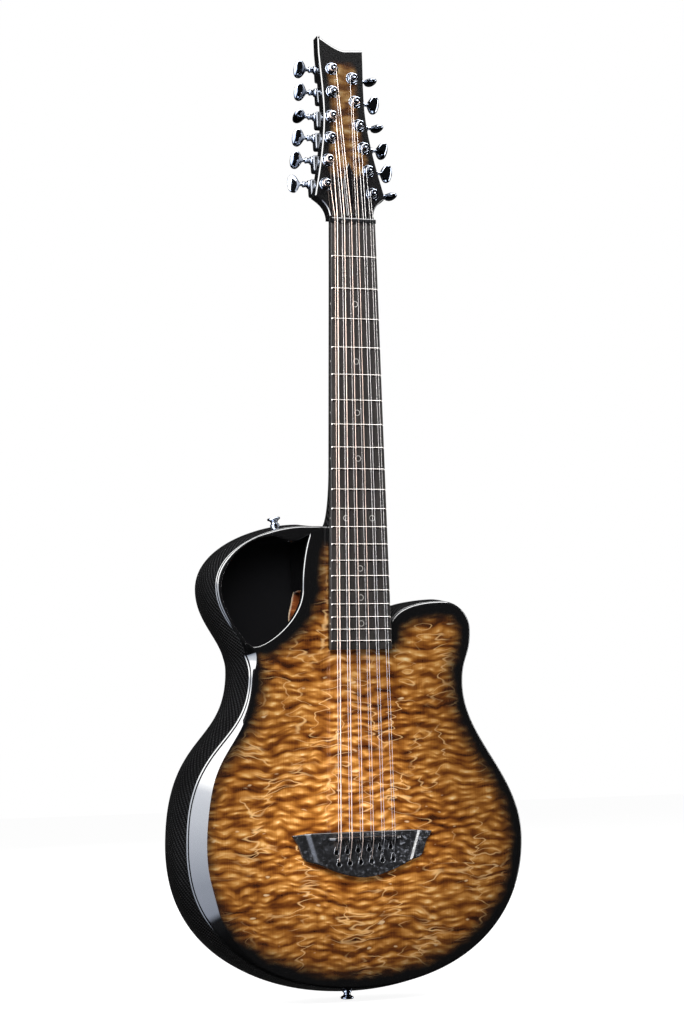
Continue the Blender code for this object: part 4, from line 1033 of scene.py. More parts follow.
@dataclass(frozen=True)
class Body:
    """Shell, top and soundhole."""

    top_y: float = -54.0
    tail: float = 806.0
    joint: float = 322.0
    lower_bout: Pair = (184.3, 656.0)
    treble_waist: Pair = (119.3, 490.0)
    horn_side: Pair = (129.4, 433.0)
    horn_tip: Pair = (98.0, 402.0)
    cutaway: float = 440.0
    cutaway_clearance: float = 3.0
    bass_waist: Pair = (-118.7, 472.0)
    bass_bout: Pair = (-154.1, 385.0)
    shoulder: float = 56.0
    corner: float = 5.0
    joint_inset: float = 0.5
    soft_shoulder: float = 0.5
    depth_tail: float = 115.0
    depth_neck: float = 88.0
    bulge: float = 7.0
    back_roll: float = 22.0
    edge: float = 3.2
    bevel_width: float = 12.0
    bevel_drop: float = 16.0
    bevel_crease: float = 1.6
    hole_room: float = 1.1
    wall: float = 2.4
    top_wall: float = 2.0
    fine: int = 8
    hole_fine: int = 5
    lip_depth: float = 6.0
    block_bass: float = 47.0
    block_length: float = 68.0
    block_round: float = 9.0
    foot_bevel: float = 0.5
    foot_from: Pair = (434.0, 452.0)
    foot_to: Pair = (454.0, 480.0)
    plaque_middle: Pair = (-18.0, 424.0)
    plaque_half: Pair = (27.0, 60.0)

    def chain(self, runs: tuple[tuple, ...], fine: int) -> tuple[Array, Array]:
        """Join cubic curves into a closed outline, with a value that goes straight along each.

        Args:
            runs: Start, two handles, end, number of parts, first value and last value of each.
            fine: Points in each part.

        Returns:
            Points as (x, z), and the value at each.
        """
        points = np.vstack([cubic(*run[:4], run[4] * fine) for run in runs])
        points[:, 1] = NECK.nut_z - points[:, 1]
        values = [np.linspace(run[5], run[6], run[4] * fine, endpoint=False) for run in runs]
        return points, np.concatenate(values)

    def outline(self) -> tuple[Array, Array]:
        """Front outline of the body and how soft its sides are.

        Cubic curves join places where it runs upright or level. Softness is 1 where the side
        bulges fully and 0 on the flat end that carries the neck.

        Returns:
            Points as (x, z), anticlockwise from the tail, and softness.
        """
        side = NECK.half_width(self.joint) - self.joint_inset
        bass_low = (-self.lower_bout[0], self.lower_bout[1])
        valley = (side + self.cutaway_clearance, self.cutaway)
        tail, joint, shoulder = (0, self.tail), (-side, self.joint), (-self.shoulder, self.joint)
        edge, corner = (side, self.joint + self.corner), (side - self.corner, self.joint)
        soft = self.soft_shoulder
        runs = (
            (tail, (103, 0), (0, 95), self.lower_bout, 9, 1.0, 1.0),
            (self.lower_bout, (0, -69), (0, 60), self.treble_waist, 6, 1.0, 0.9),
            (self.treble_waist, (0, -29), (0, 29), self.horn_side, 4, 0.9, 0.5),
            (self.horn_side, (0, -18), (16, 0), self.horn_tip, 5, 0.5, 0.45),
            (self.horn_tip, (-22, 0), (0, -34), valley, 6, 0.45, 0.1),
            (valley, (0, -20), (0, 20), edge, 3, 0.1, 0.0),
            (edge, (0, -3), (3, 0), corner, 1, 0.0, 0.0),
            (corner, (-9, 0), (9, 0), joint, 2, 0.0, 0.0),
            (joint, (-9, 0), (9, 0), shoulder, 2, 0.0, soft),
            (shoulder, (-40, 0), (0, -40), self.bass_bout, 9, soft, soft),
            (self.bass_bout, (0, 36), (0, -31), self.bass_waist, 6, soft, 0.9),
            (self.bass_waist, (0, 85), (0, -120), bass_low, 8, 0.9, 1.0),
            (bass_low, (0, 100), (-103, 0), tail, 10, 1.0, 1.0),
        )
        return self.chain(runs, self.fine)

    def section_sizes(self, points: Array) -> tuple[Array, Array]:
        """Radius of the top's edge and share of the bevel at outline points.

        The arm bevel rises past the bass waist and falls by the tail. A short one under the
        soundhole's foot is added. Both sizes are held back where the soundhole comes close.

        Args:
            points: The body's outline.

        Returns:
            Edge radius in millimetres, and the bevel's share.
        """
        distance = NECK.nut_z - points[:, 1]
        rise = smooth_step(self.bass_waist[1] + 20, self.lower_bout[1] - 30, distance)
        fall = 1 - smooth_step(self.lower_bout[1] + 40, self.tail - 15, distance)
        foot = smooth_step(*self.foot_from, distance) * (1 - smooth_step(*self.foot_to, distance))
        weight = np.where(points[:, 0] < 0, np.maximum(rise * fall, self.foot_bevel * foot), 0.0)
        room = edge_distance(points, [self.hole()[0]]) - self.hole_room
        edge = np.clip(room, 1.0, self.edge)
        spare = np.maximum(0.0, room - edge)
        return edge, np.minimum(weight, spare / (self.bevel_width + self.bevel_crease))

    def depth(self, z: Array) -> Array:
        """Depth of the back's plane behind the top at a height, straight from tail to neck."""
        tail, neck = NECK.below(self.tail), NECK.below(self.joint)
        return self.depth_tail + (self.depth_neck - self.depth_tail) * (z - tail) / (neck - tail)

    def hole(self) -> tuple[Array, Array]:
        """Leaf outline of the soundhole, and the width of its rolled lip.

        Returns:
            Points as (x, z), anticlockwise, and the lip's width at each.
        """
        top, side, foot = (-92.0, 333.0), (-149.4, 389.0), (-114.0, 448.0)
        throat, tip, neck = (-60.5, 388.0), (-51.5, 331.0), (-73.0, 338.5)
        runs = (
            (top, (-30, 0), (0, -28), side, 7, 1.6, 1.0),
            (side, (2.5, 26), (-8.5, 0), foot, 6, 1.0, 1.4),
            (foot, (14, 0), (0, 32), throat, 6, 1.4, 2.2),
            (throat, (0, -20), (-5, 14), tip, 5, 2.2, 2.2),
            (tip, (-7, 4), (8, 1), neck, 3, 2.2, 3.4),
            (neck, (-6, -1), (6, 0), top, 2, 3.4, 1.6),
        )
        return self.chain(runs, self.hole_fine)

    def rim(self, points: Array) -> tuple[Array, Array]:
        """Section of the top's edge at each outline point.

        From the side the section bends over a corner, crosses the arm bevel and bends onto the
        flat. Where there is no bevel the two bends fall together into one round edge.

        Args:
            points: The body's outline.

        Returns:
            Inset from the outline and depth behind the top's plane, both (steps, points).
        """
        edge, weight = self.section_sizes(points)
        drop = self.bevel_drop * weight
        start = np.stack([0 * drop, drop + edge])
        corner = np.stack([0 * drop, 1.1 * drop])
        crease = np.stack([edge + self.bevel_width * weight, 0 * drop])
        flat = crease + np.stack([self.bevel_crease * weight, 0 * drop])
        facet = crease - corner
        length = np.linalg.norm(facet, axis=0)
        near = corner + facet * np.minimum(1.0, (edge - self.bevel_crease * weight) / length)
        far = crease - facet * self.bevel_crease * weight / length
        t = np.linspace(0, 1, 9)[:, None, None]
        section = np.concatenate([bend(t, start, corner, near), bend(t, far, crease, flat)])
        return section[:, 0], section[:, 1]

    def make_top(self) -> None:
        """Top with its rolled edge, arm bevel and soundhole, in one sheet with a wall."""
        outline, _ = self.outline()
        inset, depth = self.rim(outline)
        moved = outline[None] - inset[..., None] * outward(outline)[None]
        shape = Shape().grid(joined(moved[..., 0], self.top_y + depth, moved[..., 1]))
        hole, lip = self.hole()
        lip = np.clip(edge_distance(hole, [outline]) - self.edge - 0.6, 0.5, lip)
        turn = np.linspace(0, np.pi / 2, 7)[:, None]
        spread = np.vstack([lip * (1 - np.sin(turn)), 0 * lip, 0 * lip])
        sunk = np.vstack([1.3 * lip * (1 - np.cos(turn)), 0 * lip + 0.6 * self.lip_depth,
                          0 * lip + self.lip_depth])
        rolled = hole[None] + spread[..., None] * outward(hole)[None]
        shape.grid(joined(rolled[..., 0], self.top_y + sunk, rolled[..., 1]))
        flat, triangles = filled(moved[-1], [rolled[0]], 5.0)
        shape.faces_of(np.insert(flat, 1, self.top_y, axis=1), triangles)
        mesh = shape.mesh("top_skin", Vector((0, -1, 0)))
        places = places_in(mesh)
        far = edge_distance(places[:, [0, 2]], [outline, hole])
        mark_edge(mesh, far * (1 - smooth_step(0.0, 2.0, places[:, 1] - self.top_y)))
        top = add_piece("top_skin", mesh, MAPLE, ("top_plate",), sharp=50.0)
        flatten(mesh, (0, -1, 0))
        wall(top, self.top_wall)

    def make_shell(self) -> None:
        """Sides and back in one sheet with a wall.

        Its section runs smoothly through seven places, each an offset from the outline and a share
        of the way from the top's edge to the back.
        """
        outline, soft = self.outline()
        edge, weight = self.section_sizes(outline)
        drop = self.bevel_drop * weight + edge
        bulge, roll = self.bulge * soft, self.back_roll * (0.18 + 0.82 * soft)
        offsets = np.stack([0 * bulge, bulge, bulge, 0.6 * bulge, -0.22 * roll, -0.58 * roll, -roll])
        shares = np.array([0.0, 0.33, 0.62, 0.80, 0.925, 0.985, 1.0])
        knots, at = np.arange(7.0), np.linspace(0, 6, 43)
        offset, share = spline(at, knots, offsets), spline(at, knots, shares)[:, None]
        moved = outline[None] + offset[..., None] * outward(outline)[None]
        depth = drop + share * (self.depth(moved[..., 1]) - drop)
        rings = joined(moved[..., 0], self.top_y + depth, moved[..., 1])
        sides = np.linalg.norm(np.roll(outline, -1, axis=0) - outline, axis=1)
        along = np.concatenate([[0], np.cumsum(sides)])
        steps = np.linalg.norm(np.diff(rings, axis=0), axis=-1)
        across = np.vstack([np.zeros(steps.shape[1]), np.cumsum(steps, axis=0)]) + drop
        across = np.column_stack((across, across[:, :1]))
        shape = Shape().grid(rings, caps="e", weave=joined(along, across))
        mesh = shape.mesh("shell_skin", Vector((0, 1, 0)))
        shell = add_piece("shell_skin", mesh, CARBON, ("back_shell",), sharp=60.0)
        areas = np.empty(len(mesh.polygons))
        mesh.polygons.foreach_get("area", areas)
        mesh.polygons.foreach_set("use_smooth", areas < areas.max())
        mesh.materials.append(INNER.material())
        wall(shell, self.wall)
        shell.modifiers["wall"].material_offset = 1

    def make_inside(self) -> None:
        """Neck block in the shell's upper end, and the plaque on the inside of the back."""
        joint = NECK.below(self.joint)
        side = NECK.half_width(self.joint) - self.joint_inset
        low = (-self.block_bass, self.top_y + self.wall + 0.6, joint - self.block_length)
        high = (side - self.wall / 2, self.top_y + self.depth_neck - self.wall / 2, joint - self.wall / 2)
        add_piece("neck_block", rounded_block("neck_block", low, high, self.block_round), CARBON)
        angle = full_turn(120)
        waves = 0.016 * np.sin(9 * angle), 0.010 * np.sin(17 * angle + 1)
        profile = [(0.0, 1.2), (0.95, 1.2), (0.98, 1.05), (1.0, 0.7), (1.0, 0.05), (0.0, 0.05)]
        rings = turned(profile, len(angle))
        for name, look, grow, lift in (("plaque_border", PLAQUE_RIM, 1.035, 0.0),
                                       ("plaque", PLAQUE, 1.0, 0.5)):
            wavy = grow + waves[0] + waves[1]
            x = self.plaque_middle[0] + self.plaque_half[0] * wavy * rings[..., 0]
            z = NECK.below(self.plaque_middle[1]) + self.plaque_half[1] * wavy * rings[..., 1]
            y = self.top_y + self.depth(z) - self.wall - lift - rings[..., 2]
            add_piece(name, Shape().grid(joined(x, y, z)), look, sharp=30.0)


@dataclass(frozen=True)
class Head:
    """Headstock and what lies on its face."""

    tilt: float = 8.0
    thickness: float = 14.5
    face_drop: float = 4.5
    flare: Pair = (40.0, 30.0)
    waist: Pair = (23.7, 134.0)
    top: Pair = (25.7, 198.0)
    horn_rise: float = 13.5
    rounding: float = 2.3
    nut_length: float = 5.0
    posts_bass: Profile = (
        (27.0, 42.7), (22.3, 69.9), (18.2, 95.4), (15.5, 119.8), (12.6, 147.7), (11.3, 173.8))
    posts_treble: Profile = (
        (25.1, 33.9), (22.3, 59.8), (18.9, 85.4), (15.0, 110.9), (12.7, 137.6), (11.3, 164.1))
    hole_radius: float = 3.6
    wood_from: Pair = (36.0, 74.0)
    wood_to: Pair = (172.0, 196.0)
    cover_foot: Pair = (6.0, 8.0)
    cover_side: Pair = (7.5, 40.0)
    cover_tip: Pair = (0.0, 68.0)
    cover_edge: Profile = ((0.0, 0.3), (0.0, 1.8), (-0.25, 2.15), (-0.7, 2.3))
    washer: Profile = (
        (3.5, 0.05), (7.0, 0.05), (7.0, 0.45), (6.7, 0.8), (6.0, 0.95), (3.5, 0.95))
    hexagon: Profile = (
        (3.4, 0.9), (4.9, 0.9), (4.9, 2.3), (4.6, 2.7), (3.9, 2.85), (3.4, 2.7))

    @property
    def axes(self) -> Array:
        """Columns: across, along and out of the head's face."""
        s, c = math.sin(math.radians(self.tilt)), math.cos(math.radians(self.tilt))
        return np.array([[1.0, 0, 0], [0, s, -c], [0, c, s]])

    @property
    def origin(self) -> Array:
        """Place where the head's face crosses the nut's front edge."""
        return np.array([0.0, NECK.fret_y + self.face_drop, NECK.nut_z])

    def world(self, points: Array) -> Array:
        """Turn places on the head, as (across, along, out), into places in the guitar's frame."""
        return np.asarray(points, float) @ self.axes.T + self.origin

    def local(self, points: Array) -> Array:
        """Turn places in the guitar's frame into places on the head."""
        return (np.asarray(points, float) - self.origin) @ self.axes

    def posts(self) -> list[tuple[str, Side, float, float]]:
        """Posts of both rows, from the nut upward.

        Returns:
            Label, side, and place across and along the head of each.
        """
        rows = ((Side.BASS, self.posts_bass), (Side.TREBLE, self.posts_treble))
        return [(f"{side.label}_{number}", side, side.value * x, along)
                for side, places in rows for number, (x, along) in enumerate(places, 1)]

    def outline(self) -> Array:
        """Outline of the face.

        Returns:
            Points as (across, along), anticlockwise.
        """
        start = self.nut_length + 0.6
        neck = (NECK.half_width(0.0), start)
        side = np.vstack([
            cubic(neck, (0, 13), (-9, -6), self.flare, 30),
            cubic(self.flare, (-7, 30), (0, -34), self.waist, 36),
            cubic(self.waist, (0, 28), (-0.6, -26), self.top, 18),
        ])
        horn = (0.6 - self.top[0], self.top[1] + self.horn_rise)
        crest = cubic((5.0, self.top[1] - 1.5), (-9, 0), (9, -5), horn, 20)
        bass = side[::-1] * (-1, 1)
        return np.vstack([side, [self.top], crest, [horn], bass])

    def make_head(self) -> None:
        """Headstock with a black edge round figured wood, and a hole for each post."""
        outline = self.outline()
        normals = outward(outline)
        levels = np.vstack([[(-1.0, -self.thickness), (0.0, 1.0 - self.thickness)],
                            self.rounding * (circle(np.linspace(0, np.pi / 2, 7)) - 1)])
        rings = outline[None] + levels[:, 0, None, None] * normals[None]
        shape = Shape().grid(joined(rings[..., 0], rings[..., 1], levels[:, 1, None]))
        bore = self.hole_radius * circle(full_turn(24))
        holes = [bore + (x, along) for _, _, x, along in self.posts()]
        for ring, level in ((rings[-1], 0.0), (rings[0], -self.thickness)):
            flat, triangles = filled(ring, holes, 3.0)
            shape.faces_of(np.insert(flat, 2, level, axis=1), triangles)
        for hole in holes:
            shape.grid(np.stack([np.insert(hole, 2, level, axis=1) for level in (0.0, -self.thickness)]))
        mesh = shape.placed(self.axes, self.origin).mesh("headstock")
        local = self.local(places_in(mesh))
        along, front = local[:, 1], np.where(local[:, 2] > -0.3, 1.0, 0.0)
        wood = smooth_step(*self.wood_from, along) * (1 - smooth_step(*self.wood_to, along))
        mark_edge(mesh, edge_distance(local[:, :2], [outline]) * wood * front)
        add_piece("headstock", mesh, HEAD_MAPLE, sharp=35.0)
        flatten(mesh, tuple(self.axes[:, 2]))

    def make_cover(self) -> None:
        """Lancet cover over the truss rod's nut, with a chamfered edge."""
        arc = cubic(self.cover_side, (-0.5, 14), (3.0, -8), self.cover_tip, 24)
        half = np.vstack([[self.cover_foot], arc])
        outline = np.vstack([half, [self.cover_tip], half[::-1] * (-1, 1)])
        normals = outward(outline)
        rings = np.stack([np.insert(outline + inset * normals, 2, out, axis=1)
                          for inset, out in self.cover_edge])
        shape = Shape().grid(rings, caps="se").placed(self.axes, self.origin)
        add_piece("rod_cover", shape, BLACK, ("truss_rod_cover",), sharp=40.0)

    def make_bushings(self) -> None:
        """A round washer and a hexagon bushing at each post."""
        forms = (turned(self.washer, 48), turned(self.hexagon, 48, 6))
        shape = Shape()
        for _, _, x, along in self.posts():
            for form in forms:
                shape.grid(form + (x, along, 0), loop=True)
        add_piece("tuner_bushings", shape.placed(self.axes, self.origin), CHROME)


HEAD = Head()


@dataclass(frozen=True)
class NeckPieces:
    """Neck, board, frets, inlays and nut."""

    depth_at_nut: float = 14.5
    depth_at_heel: float = 17.5
    heel_depth: float = 66.0
    heel_run: float = 58.0
    joint: float = 322.0
    cloth_round: float = 22.0
    board_inset: float = 0.4
    riser_foot: float = -54.3
    camber: float = 0.5
    fret_width: float = 2.3
    ring_radius: float = 2.9
    ring_wire: float = 0.36
    ring_sunk: float = 0.28
    dot: Profile = ((0.0, 0.12), (0.8, 0.12), (1.05, 0.0), (1.05, -0.3), (0.0, -0.3))
    dot_depth: float = 3.0
    marks: tuple[int, ...] = (3, 5, 7, 9, 15, 17, 19)
    double_mark: int = 12
    double_spread: float = 14.5
    nut_above_frets: float = 1.3

    def make_neck(self) -> None:
        """Neck with its heel.

        A section is half the width times the cosine of the angle to the power 0.8, and the depth
        times its sine to the power 0.9. The heel grows as a quarter circle to the power 0.8.
        """
        share = np.linspace(0, 1, 34)[1:]
        heel_start = self.joint - self.heel_run
        grown = (1 - np.sqrt(np.maximum(0, 1 - share**2))) ** 0.8
        distance = np.concatenate([
            np.linspace(-18.0, heel_start, 60),
            heel_start + share * (self.heel_run - NECK.gap)])
        plain = np.interp(distance[:60], [-18.0, -5.0, 60.0, heel_start],
                          [12.0, self.depth_at_nut, self.depth_at_nut, self.depth_at_heel])
        depth = np.concatenate([plain, self.depth_at_heel + (self.heel_depth - self.depth_at_heel) * grown])
        angle = np.linspace(0, np.pi, 49)
        across = np.sign(np.cos(angle)) * np.abs(np.cos(angle)) ** 0.8
        x = NECK.half_width(distance)[:, None] * across
        y = NECK.face_y + depth[:, None] * np.sin(angle).clip(0) ** 0.9
        z = NECK.below(0) - distance[:, None]
        weave = joined(np.append(angle, angle[0]) * self.cloth_round, z)
        shape = Shape().grid(joined(x, y, z), caps="se", weave=weave)
        add_piece("neck_shaft", shape, CARBON, ("neck",), sharp=40.0)

    def make_riser(self) -> None:
        """Black block that holds the board's end above the top."""
        start, end = self.joint - 12.0, NECK.board_end
        rings = []
        for y in (NECK.face_y - NECK.gap, self.riser_foot):
            near, far = NECK.half_width(start) - self.board_inset, NECK.half_width(end) - self.board_inset
            corners = [(near, start), (far, end - 2.0), (far - 2.0, end), (2.0 - far, end),
                       (-far, end - 2.0), (-near, start)]
            rings.append([(x, y, NECK.below(d)) for x, d in corners])
        add_piece("board_riser", Shape().grid(np.array(rings), caps="se"), BLACK, sharp=20.0)

    def board_face(self, x: Array | float, half: Array | float) -> Array | float:
        """Depth of the board's face: its middle, less far out by the camber times the share squared."""
        return NECK.board_y + self.camber * (x / half) ** 2

    def make_board(self) -> None:
        """Cambered board with softened edges.

        Each cross-section goes over the face from one lower edge to the other, with the points
        close together at the edges.
        """
        middle = np.linspace(NECK.gap + 0.4, NECK.board_end - 0.4, 60)
        distance = np.concatenate([[NECK.gap], middle, [NECK.board_end]])
        half = NECK.half_width(distance)[:, None]
        share = np.linspace(-1, 1, 33)
        x = share * (half - 0.45)
        face = self.board_face(x, half)
        back = NECK.board_y + NECK.board_thickness
        ends = np.where((np.arange(len(distance)) % (len(distance) - 1)) == 0, 0.35, 0.0)[:, None]
        side = np.concatenate([-half, -half, -half + 0.13], axis=1)
        deep = np.concatenate([0 * half + back, face[:, :1] + 0.45, face[:, :1] + 0.13], axis=1)
        xs = np.concatenate([side, x, -side[:, ::-1]], axis=1)
        ys = np.concatenate([deep, face + ends, deep[:, ::-1]], axis=1)
        shape = Shape().grid(joined(xs, ys, NECK.below(0) - distance[:, None]), caps="se")
        add_piece("board_skin", shape, BOARD, ("fingerboard",), sharp=50.0)

    def make_frets(self) -> None:
        """Twenty crowned fret wires whose ends slope in.

        A wire's section is half an ellipse, as wide as the wire and as high as the frets. Towards
        its ends the height falls.
        """
        number = np.arange(1, NECK.fret_count + 1)[:, None, None]
        middle = NECK.fret(number)
        half = NECK.half_width(middle) - 0.25
        share = np.concatenate([[-1.0, -0.985, -0.955], np.linspace(-0.9, 0.9, 15), [0.955, 0.985, 1.0]])
        share = share[None, :, None]
        height = np.interp(1 - np.abs(share), [0, 0.015, 0.045, 0.1], [0.15, 0.7, 0.95, 1.0])
        angle = np.linspace(0, np.pi, 9)[None, None, :]
        x = half * share
        y = self.board_face(x, half) + 0.05 - (NECK.fret_height + 0.05) * height * np.sin(angle)
        z = NECK.below(0) - middle - self.fret_width / 2 * np.cos(angle)
        shape = Shape()
        for wire in joined(x, y, z):
            shape.grid(wire, caps="se")
        add_piece("fret_wires", shape, FRET_WIRE, sharp=60.0)

    def make_inlays(self) -> None:
        """Thin pale rings in the board, and dots on its bass side, between the marked frets."""
        marks = [(0.0, n) for n in self.marks]
        marks += [(side * self.double_spread, self.double_mark) for side in (-1, 1)]
        disc = turned(self.dot, 20) @ np.array([[0.0, 0, -1.0], [1.0, 0, 0], [0, -1.0, 0]]).T
        rings, dots = Shape(), Shape()
        for x, number in marks:
            distance = float(NECK.fret(number - 1) + NECK.fret(number)) / 2
            half, z = NECK.half_width(distance), NECK.below(distance)
            ring = self.ring_radius * circle(full_turn(48)) + (x, z)
            rings.grid(bead(ring, self.board_face(x, half) + self.ring_sunk, self.ring_wire))
            if x <= 0:
                dots.grid(disc + (-half, NECK.board_y + self.dot_depth, z))
        add_piece("board_rings", rings, INLAY, sharp=60.0)
        add_piece("side_dots", dots, INLAY, sharp=40.0)

    def make_nut(self, slots: Array, radii: Array) -> None:
        """Nut with a rounded top and a slot under each string.

        Its height is the crest, lowered by a raised cosine towards its front and back edges, and by
        a flat-bottomed notch at each string.

        Args:
            slots: Place of each string across the nut.
            radii: Radius of each string.
        """
        half = NECK.half_width(0.0) - self.board_inset
        crest, foot = NECK.fret_y - self.nut_above_frets, NECK.face_y - NECK.gap
        x = np.unique(np.concatenate(
            [np.linspace(-half, half, 40)]
            + [slots + sign * (radii + grow) for sign in (-1, 1) for grow in (0.1, 0.22)]))
        notch = (np.abs(x[:, None] - slots) < radii + 0.16).any(axis=1)
        level = np.where(notch, NECK.fret_y - 0.5 + 0.3, crest)
        along = np.array([0.0, 0.0, 0.5, 1.6, 3.4, 4.5, 5.0, 5.0])
        low = np.array([np.nan, 0.7, 0.25, 0.0, 0.0, 0.25, 0.7, np.nan])[:, None]
        y = np.where(np.isnan(low), foot, level + low)
        grid = joined(x, y, NECK.nut_z + along[:, None])
        add_piece("nut_bar", Shape().grid(grid.transpose(1, 0, 2), caps="se"), BONE, ("nut",))


@dataclass(frozen=True)
class Bridge:
    """Bridge with sloping wings, its saddle and the rims of its keyholes."""

    thickness: float = 9.0
    tip_thickness: float = 4.0
    half: float = 78.0
    crease_top: float = 58.0
    crease_foot: float = 49.0
    above_saddle: float = 5.0
    tip_fall: float = 2.0
    end_drop: float = 29.0
    belly_drop: float = 47.5
    saddle_half: float = 41.0
    saddle_thickness: float = 3.0
    saddle_rise: float = 3.3
    gap: float = 0.3
    rounding: float = 1.4
    hole_radius: float = 2.5
    tip_half: float = 0.9
    tip_reach: float = 6.0
    top_y: float = -54.0

    @property
    def saddle_z(self) -> float:
        """Height of the saddle's front edge."""
        return NECK.nut_z - NECK.scale_length

    @property
    def face_y(self) -> float:
        """Depth of the bridge's flat middle."""
        return self.top_y - self.gap - self.thickness

    def keyhole(self, x: float, row: float, grow: float = 0.0, steps: int = 28) -> Array:
        """Outline of a keyhole as (x, z): a round foot drawn up to a narrow tip.

        Args:
            x: Place across the bridge.
            row: Distance of the round foot's middle below the saddle.
            grow: How far the outline moves out.
            steps: Points of the round foot.

        Returns:
            The outline, anticlockwise.
        """
        angle = np.radians(np.linspace(140, 400, steps))
        radius = self.hole_radius + grow
        half, reach = self.tip_half + grow, self.tip_reach + 0.5 * grow
        tip = [(half, reach), (0.0, self.tip_reach + 0.5 + grow), (-half, reach)]
        return np.vstack([radius * circle(angle), tip]) + (x, self.saddle_z - row)

    def make_bridge(self, holes: list[Pair]) -> None:
        """Bridge block.

        Columns of points run from its lower outline, a belly curve, a step and the wing's end, to
        its upper one. The height is the middle's, less a soft step past the crease, a slope along
        the wing and a rounding near the outline.

        Args:
            holes: Place across and distance below the saddle of each keyhole.
        """
        top = self.saddle_z + self.above_saddle
        step = (self.crease_foot, top - self.end_drop - 4.0)
        belly = cubic(step, (-14, -7), (16, 0), (0.0, top - self.belly_drop), 40)[::-1]
        end, tip = top - self.end_drop, top - self.tip_fall
        lower = np.vstack([[(0.0, top - self.belly_drop)], belly[belly[:, 0] > 0.5], [step],
                           [(63.0, end), (67.0, end + 4.0), (71.5, tip - 10.0), (self.half, tip)]])
        x = np.unique(np.concatenate([np.linspace(0, self.half, 110), lower[:, 0], [self.crease_top]]))
        x = np.concatenate([-x[:0:-1], x])
        low = np.interp(np.abs(x), lower[:, 0], lower[:, 1])
        high = np.interp(np.abs(x), [0, self.crease_top, self.half], [top, top, tip])
        tall = np.maximum(high - low, 0.001)
        near = np.array([0.0, 0.25, 0.6, 1.0, self.rounding])
        shrink = np.minimum(1.0, tall / 8.0)
        share = np.linspace(0, 1, 42)[1:-1, None]
        z = np.concatenate([
            low + near[:, None] * shrink,
            low + self.rounding * shrink + share * (tall - 2 * self.rounding * shrink),
            high - near[::-1, None] * shrink])
        run, rise = self.crease_top - self.crease_foot, self.end_drop
        slant = math.hypot(run, rise)
        past = (np.abs(x) - self.crease_top) * rise / slant + (top - z) * run / slant
        ends = (self.half - np.abs(x)) * 0.75
        far = np.minimum(np.minimum(z - low, high - z), ends)
        close = np.clip(self.rounding - far, 0, self.rounding) / self.rounding
        slope = np.clip(past / (self.half - self.crease_foot), 0, 1)
        fall = (self.thickness - self.tip_thickness) * (0.7 * smooth_step(0, 8, past) + 0.3 * slope)
        front = self.face_y + fall + 1.0 * (1 - np.sqrt(1 - close**2 * 0.99))
        foot = self.top_y - self.gap
        grid = np.concatenate([joined(x, foot, z[:1]), joined(x, front, z), joined(x, foot, z[-1:])])
        block = Shape().grid(grid.transpose(1, 0, 2)).mesh("bridge_block")
        cutters = Shape()
        for hole in holes:
            cutters.grid(np.stack([np.insert(self.keyhole(*hole), 1, y, axis=1)
                                   for y in (self.face_y - 5.0, self.top_y + 5.0)]), caps="se")
        wide, back = self.saddle_half + self.gap, self.saddle_z - self.saddle_thickness - self.gap
        slot = rounded_block("slot", (-wide, self.face_y - 5.0, back),
                             (wide, self.face_y + 5.0, self.saddle_z + self.gap), 0.2, 1)
        mesh = cut_from(block, [cutters.mesh("keyholes"), slot])
        add_piece("bridge_block", mesh, FORGED, ("bridge",), sharp=22.0)
        # Painted shade: a dark sheet on the top under the bridge, seen through the keyholes, where the
        # holes would lead into the dark body.
        seat = np.stack([joined(x, self.top_y - self.gap / 2, level)
                         for level in (np.minimum(low + 1.5, high - 1.0), high - 1.0)])
        sheet = Shape().grid(seat, wrap=False).mesh("keyhole_shade_sheet", Vector((0, -1, 0)))
        add_piece("keyhole_shade_sheet", sheet, INNER)

    def make_rims(self, holes: list[Pair]) -> None:
        """Painted highlight round each keyhole: a thin pale metallic bead carried along its outline,
        lighter than the bridge's carbon, standing in for light on the countersunk edge.

        Args:
            holes: Place across and distance below the saddle of each keyhole.
        """
        shape = Shape()
        for hole in holes:
            shape.grid(bead(self.keyhole(*hole, 0.22), self.face_y + 0.12, 0.32))
        add_piece("keyhole_rims", shape, KEYHOLE_HIGHLIGHT, sharp=60.0)

    def make_saddle(self) -> None:
        """Saddle whose crest drops to its ends and is round from front to back."""
        crest = NECK.fret_y - self.saddle_rise
        x = np.linspace(-self.saddle_half, self.saddle_half, 60)
        level = crest + (self.face_y - 1.5 - crest) * smooth_step(33.0, self.saddle_half, np.abs(x))
        back = self.saddle_thickness
        along = np.array([0.0, 0.0, 0.35, back / 2, back - 0.35, back, back])
        low = np.array([np.nan, 0.9, 0.3, 0.0, 0.3, 0.9, np.nan])[:, None]
        y = np.where(np.isnan(low), self.face_y + 4.7, level + low)
        grid = joined(x, y, self.saddle_z - along[:, None])
        add_piece("saddle_bar", Shape().grid(grid.transpose(1, 0, 2), caps="se"), BONE, ("saddle",))


